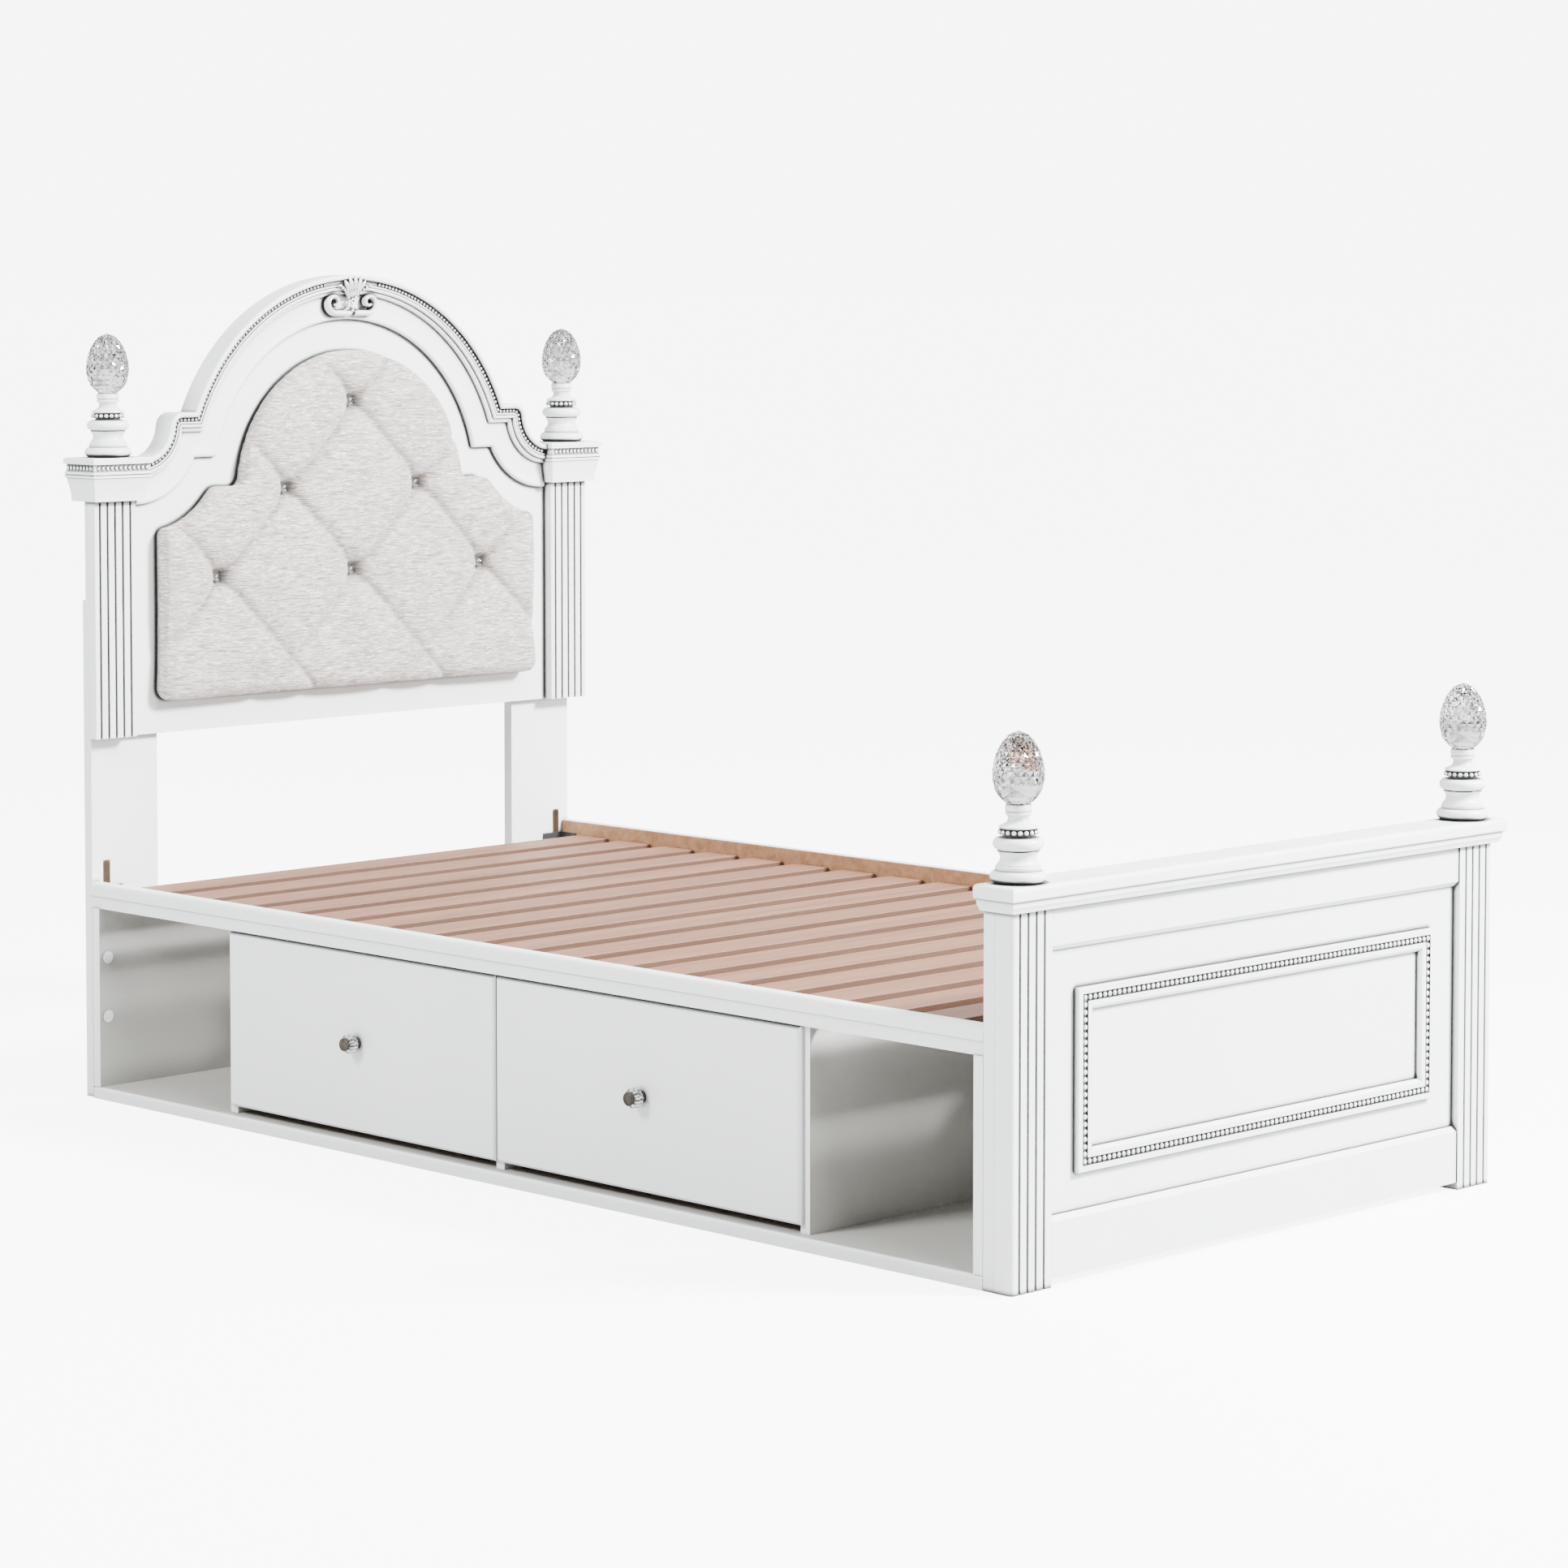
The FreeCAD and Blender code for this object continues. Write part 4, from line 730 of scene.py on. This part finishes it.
finial_spots = {"headboard": [middle_of("headboard_finial_bases", s) for s in (-1, 1)],
                "footboard": [middle_of("footboard_finial_bases", s) for s in (-1, 1)]}
for board, spots in finial_spots.items():
    pair = [copy_to(foot_master, board + "_foot_%d" % i, spot) for i, spot in enumerate(spots)]
    feet = join(pair)
    feet.name = board + "_turned_feet"
    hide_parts(board + "_finial_bases")
    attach(feet, "frame")
    print(feet.name, len(feet.data.polygons), "faces")
bpy.data.objects.remove(foot_master)

# %% [markdown]
# The crystal egg is cut in two zones: long flutes at the bottom and a net of diamond points
# over the rest. Turning every ring by half a facet and splitting each face gives a net of
# triangles. Dissolving the level edges joins them in pairs into diamonds, and poking each
# diamond raises its middle to a point, as the cutter's wheel leaves it.

# %% Crystal eggs
egg_sides = 16
egg_half_turn = math.pi / egg_sides
flute_top = 0.026
diamond_rise = 0.0017
egg_rings = [(14.8, 0.0), (20.5, 4.2), (27.0, 11.0), (31.4, 19.0), (32.6, 26.0)]
for i in range(1, 11):
    climb = 6.3 * i
    egg_rings.append((33.5 * (1 - ((climb - 12.0) / 58.0) ** 2) ** 0.6, 26.0 + climb))
egg_rings += [(7.5, 93.2), (1.2, 95.4)]


def egg_twist(height):
    """Half a facet for each ring above the flutes."""
    return egg_half_turn if height > flute_top + 0.0005 else 0.0


def is_level(mesh, edge):
    """An edge that runs along a ring between the flutes and the tip."""
    heights = [mesh.vertices[i].co.z for i in edge.vertices]
    return abs(heights[0] - heights[1]) < 1e-5 and flute_top + 0.001 < heights[0] < 0.0925


egg_master = lathe([(r / 1000, h / 1000) for r, h in egg_rings], egg_sides, egg_twist)
only(egg_master)
bpy.ops.object.mode_set(mode="EDIT")
bpy.ops.mesh.select_all(action="SELECT")
bpy.ops.mesh.quads_convert_to_tris(quad_method="SHORTEST_DIAGONAL")
bpy.ops.mesh.select_all(action="DESELECT")
bpy.ops.object.mode_set(mode="OBJECT")
egg_mesh = egg_master.data
egg_mesh.edges.foreach_set("select", [is_level(egg_mesh, edge) for edge in egg_mesh.edges])
bpy.ops.object.mode_set(mode="EDIT")
bpy.ops.mesh.select_mode(type="EDGE")
bpy.ops.mesh.dissolve_edges(use_verts=False)
bpy.ops.object.mode_set(mode="OBJECT")
diamonds = [len(face.vertices) == 4 and face.center.z > flute_top for face in egg_mesh.polygons]
egg_mesh.polygons.foreach_set("select", diamonds)
bpy.ops.object.mode_set(mode="EDIT")
bpy.ops.mesh.select_mode(type="FACE")
bpy.ops.mesh.poke(offset=diamond_rise)
bpy.ops.object.mode_set(mode="OBJECT")
number_facets(egg_master)
settle(egg_master, "cut_egg", cut_crystal, 0)
foot_rise = foot_profile[-1][1]
for board, spots in finial_spots.items():
    lift = Vector((0, 0, foot_rise + 0.0004))
    pair = [copy_to(egg_master, board + "_egg_%d" % i, spot + lift) for i, spot in enumerate(spots)]
    eggs = join(pair)
    eggs.name = board + "_crystal_eggs"
    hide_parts(board + "_finial_crystals")
    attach(eggs, "frame")
    print(eggs.name, len(eggs.data.polygons), "facets")
bpy.data.objects.remove(egg_master)

# %% [markdown]
# The knobs are fluted glass between a nickel plate and a nickel cap. The glass is turned
# with four sides to each flute, and then the sides between two ridges are drawn in.

# %% Glass knobs
flutes = 12
flute_dip = 0.17
knob_rings = [(0.0082, 0.0), (0.0115, 0.003), (0.0142, 0.007), (0.0149, 0.011), (0.0146, 0.015),
              (0.0118, 0.0196)]
knob_master = lathe(knob_rings, flutes * 4)
for vertex in knob_master.data.vertices:
    angle = math.atan2(vertex.co.y, vertex.co.x)
    dip = 0.5 - 0.5 * math.cos(angle * flutes)
    reach = math.hypot(vertex.co.x, vertex.co.y)
    if reach > 0.001:
        vertex.co.x *= 1 - flute_dip * dip
        vertex.co.y *= 1 - flute_dip * dip
knob_master.rotation_euler = (0, math.radians(-90), 0)
number_facets(knob_master, 0.375)
settle(knob_master, "fluted_glass", cut_crystal, 20)
for drawer in ("drawer_foot", "drawer_head"):
    low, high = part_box(drawer + "_knob_glass")
    spot = Vector((high[0] - 0.0001, (low[1] + high[1]) / 2, (low[2] + high[2]) / 2))
    glass = copy_to(knob_master, drawer + "_fluted_glass", spot)
    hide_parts(drawer + "_knob_glass")
    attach(glass, drawer)
    print(glass.name, "at", [round(v, 3) for v in spot])
bpy.data.objects.remove(knob_master)

# %% [markdown]
# The pad's cover is pulled down by six crystal buttons, each a low cut gem in a thin rim.

# %% Crystal buttons
gem_rings = [(0.0062, 0.0), (0.0064, 0.0018), (0.0058, 0.0030), (0.0042, 0.0050), (0.0022, 0.0060)]
gem_master = lathe(gem_rings, 10, lambda h: math.pi / 10 if h > 0.0025 else 0.0)
gem_master.rotation_euler = (math.radians(90), 0, 0)
number_facets(gem_master)
settle(gem_master, "gem", cut_crystal, 0)
low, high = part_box("tuft_buttons")
seat_y = high[1]
step = (high[0] - low[0] - 0.013) / 4
low_row = low[2] + 0.0065
button_spots = [(0.0, low_row), (0.0, low_row + 2 * step)]
for side in (-1, 1):
    button_spots += [(side * step, low_row + step), (side * 2 * step, low_row)]
gems = join([copy_to(gem_master, "gem_%d" % i, Vector((x, seat_y, z)))
             for i, (x, z) in enumerate(button_spots)])
gems.name = "button_gems"
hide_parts("tuft_buttons")
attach(gems, "frame")
bpy.data.objects.remove(gem_master)
print("buttons", [(round(x, 3), round(z, 3)) for x, z in button_spots])

# %% [markdown]
# The pad is foam under cloth. Its solid gives the outline and the room it has; a short
# cloth run with a little pressure inside makes it swell as a stuffed pad does. Then the
# tufting is worked in: the buttons draw the cover down, and folds run from button to
# button on both diagonals and out to the rim.

# %% Blow up the pad
pad_node = nodes["headboard_cushion"]
pad = pad_node.copy()
pad.data = pad_node.data.copy()
pad.name = "tufted_pad"
bpy.context.scene.collection.objects.link(pad)
pad.parent = None
pad.matrix_world = Matrix.Identity(4)
weld(pad)
pad_low, pad_high = [Vector(corner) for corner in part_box("headboard_cushion")]
only(pad)
remesh = pad.modifiers.new("even_mesh", "REMESH")
remesh.mode = "VOXEL"
remesh.voxel_size = 0.006
bpy.ops.object.modifier_apply(modifier="even_mesh")
before = [v.co.copy() for v in pad.data.vertices]
print("pad mesh", len(before), "points")


def swell(obj, pressure, frames):
    """Run cloth with air inside, and keep its shape at the last frame."""
    only(obj)
    cloth_mod = obj.modifiers.new("stuffing", "CLOTH")
    settings = cloth_mod.settings
    settings.quality = 4
    settings.mass = 0.3
    settings.tension_stiffness = 25
    settings.compression_stiffness = 25
    settings.bending_stiffness = 1.5
    settings.use_pressure = True
    settings.uniform_pressure_force = pressure
    settings.effector_weights.gravity = 0
    cloth_mod.collision_settings.use_collision = False
    cloth_mod.point_cache.frame_start = 1
    cloth_mod.point_cache.frame_end = frames
    for number in range(1, frames + 1):
        bpy.context.scene.frame_set(number)
    bpy.ops.object.modifier_apply(modifier="stuffing")
    bpy.context.scene.frame_set(1)


swell(pad, 4.0, 16)
swell_limit = 0.006
most = 0.0
for vertex, start in zip(pad.data.vertices, before):
    move = vertex.co - start
    if move.length > swell_limit:
        move = move * (swell_limit / move.length)
    vertex.co = start + move
    vertex.co.y = min(vertex.co.y, pad_high.y)
    most = max(most, move.length)
print("largest swell", round(most, 4))

# %% Work in the tufting
only(pad)
smooth = pad.modifiers.new("finer", "SUBSURF")
smooth.levels = 1
smooth.render_levels = 1
bpy.ops.object.modifier_apply(modifier="finer")
fold_sums = sorted({round(x + z, 3) for x, z in button_spots})
fold_gaps = sorted({round(x - z, 3) for x, z in button_spots})
front_y = pad_low.y
flat_back = 0.35          # share of the pad's depth, from the back, that stays as it is
fade_depth = 0.4
crease_width = 0.0075
button_reach = 0.030
puff_width = 0.035


def fold_distance(x, z):
    """Distance from a point on the pad's face to the nearest fold."""
    one = min(abs(x + z - s) for s in fold_sums)
    other = min(abs(x - z - g) for g in fold_gaps)
    return min(one, other) / math.sqrt(2)


for vertex in pad.data.vertices:
    x, y, z = vertex.co
    depth_in = (pad_high.y - y) / (pad_high.y - front_y)
    if depth_in < flat_back:
        continue
    weight = min(1.0, (depth_in - flat_back) / fade_depth)
    from_button = min(math.hypot(x - bx, z - bz) for bx, bz in button_spots)
    fold = fold_distance(x, z)
    nearness = math.exp(-((from_button / 0.085) ** 2))
    crease = (0.0065 + 0.0045 * nearness) * math.exp(-fold / crease_width)
    pull = 0.0125 * math.exp(-((from_button / button_reach) ** 2))
    puff = 0.0050 * (1 - math.exp(-fold / puff_width))
    vertex.co.y = y + weight * (crease + pull - puff)
settle(pad, "tufted_pad", pad_cloth, 60)
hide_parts("headboard_cushion")
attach(pad, "frame")
print("pad", len(pad.data.polygons), "faces")

# %% [markdown]
# A carved crest hides the middle of the crown: a leaf that opens upwards between two
# scrolls, with pearls up its middle and along its sides. A scroll is an oval bar bent on
# ever smaller arcs, just as a draughtsman swings a volute, and each leaf lobe is a
# stretched and pinched ball.

# %% Carved crest
crest_low, crest_high = [Vector(corner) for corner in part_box("crown_ornament")]
crest_top = crest_high.z
bar_depth = 1.7
arc_angle = math.radians(84)
arc_shrink = 0.76


def face_at(z):
    """How far forward the carving stands at a height: it climbs over the crown moulding."""
    climb = min(1.0, max(0.0, (z - crest_top + 0.036) / 0.022))
    return crest_high.y - 0.0075 - 0.0115 * climb


def free_end(obj):
    """Middle of what is selected in edit mode: the end of the bar being bent."""
    ends = [v.co for v in bmesh.from_edit_mesh(obj.data).verts if v.select]
    return sum(ends, Vector()) / len(ends)


def scroll(side):
    """One volute: a bar that runs out along the bottom, up, over and round to its eye."""
    deselect()
    radius = 0.0165
    start = Vector((side * 0.004, face_at(0), crest_low.z + 0.0058))
    bpy.ops.mesh.primitive_circle_add(vertices=10, radius=0.0050, fill_type="NGON", location=start,
                                      rotation=(0, math.radians(90), 0))
    obj = bpy.context.object
    bpy.ops.object.transform_apply(location=True, rotation=True)
    bpy.ops.object.mode_set(mode="EDIT")
    bpy.ops.mesh.select_all(action="SELECT")
    bpy.ops.transform.resize(value=(1, bar_depth, 1), center_override=start)
    for i in range(4):
        bpy.ops.mesh.extrude_region_move(TRANSFORM_OT_translate={"value": (side * 0.0076, 0, 0)})
    centre = free_end(obj) + Vector((0, 0, radius))
    for _ in range(5):
        bpy.ops.mesh.spin(steps=6, dupli=False, angle=side * arc_angle, center=centre,
                          axis=(0, 1, 0))
        end = free_end(obj)
        bpy.ops.transform.resize(value=(0.88, 0.94, 0.88), center_override=end)
        centre = end + (centre - end) * arc_shrink
    bpy.ops.object.mode_set(mode="OBJECT")
    weld(obj)
    return obj


def lobe(x, z, lean, length, width, lift=0.0):
    """One leaf lobe: a ball stretched, pinched to a point and grooved down its middle."""
    deselect()
    bpy.ops.mesh.primitive_uv_sphere_add(segments=12, ring_count=8, radius=1.0)
    obj = bpy.context.object
    for vertex in obj.data.vertices:
        taper = 1.0 - 0.55 * max(vertex.co.z, 0.0) ** 1.5
        vertex.co.x *= taper
        if vertex.co.y < 0:
            vertex.co.y *= 1.0 - 0.55 * math.exp(-((vertex.co.x / 0.28) ** 2))
    obj.scale = (width, 0.0048, length)
    bpy.ops.object.transform_apply(scale=True)
    obj.rotation_euler = (0, lean, 0)
    obj.location = (x + math.sin(lean) * length, -lift, z + math.cos(lean) * length)
    bpy.ops.object.transform_apply(location=True, rotation=True)
    for vertex in obj.data.vertices:
        vertex.co.y += face_at(vertex.co.z)
    return obj


def pearl(x, z, size, out=0.003):
    """One round pearl on the carving."""
    deselect()
    bpy.ops.mesh.primitive_uv_sphere_add(segments=14, ring_count=8, radius=size,
                                         location=(x, face_at(z) - out, z))
    return bpy.context.object


crest = [scroll(-1), scroll(1)]
root_z = crest_top - 0.040
for lean_degrees, size in ((-36, 0.0195), (-19, 0.0200), (0, 0.0198), (19, 0.0200), (36, 0.0195)):
    crest.append(lobe(0, root_z, math.radians(lean_degrees), size, 0.0060, 0.0005))
for lean_degrees in (-128, -104, 104, 128):
    crest.append(lobe(0, crest_low.z + 0.013, math.radians(lean_degrees), 0.0085, 0.0036))
for side in (-1, 1):
    for i in range(7):
        t = i / 6
        x = side * (0.0048 + 0.027 * t ** 1.35)
        z = root_z - 0.004 + 0.026 * t ** 0.75
        crest.append(pearl(x, z, 0.0026))
for i in range(4):
    crest.append(pearl(0, crest_low.z + 0.010 + 0.0064 * i, 0.0034 - 0.0003 * i, 0.0035))
carving = join(crest)
# The carving takes the lacquer with painted shade in its hollows.
settle(carving, "carved_crest", lacquer_with_painted_shade, 50)
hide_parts("crown_ornament")
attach(carving, "frame")
print("crest", len(carving.data.polygons), "faces")
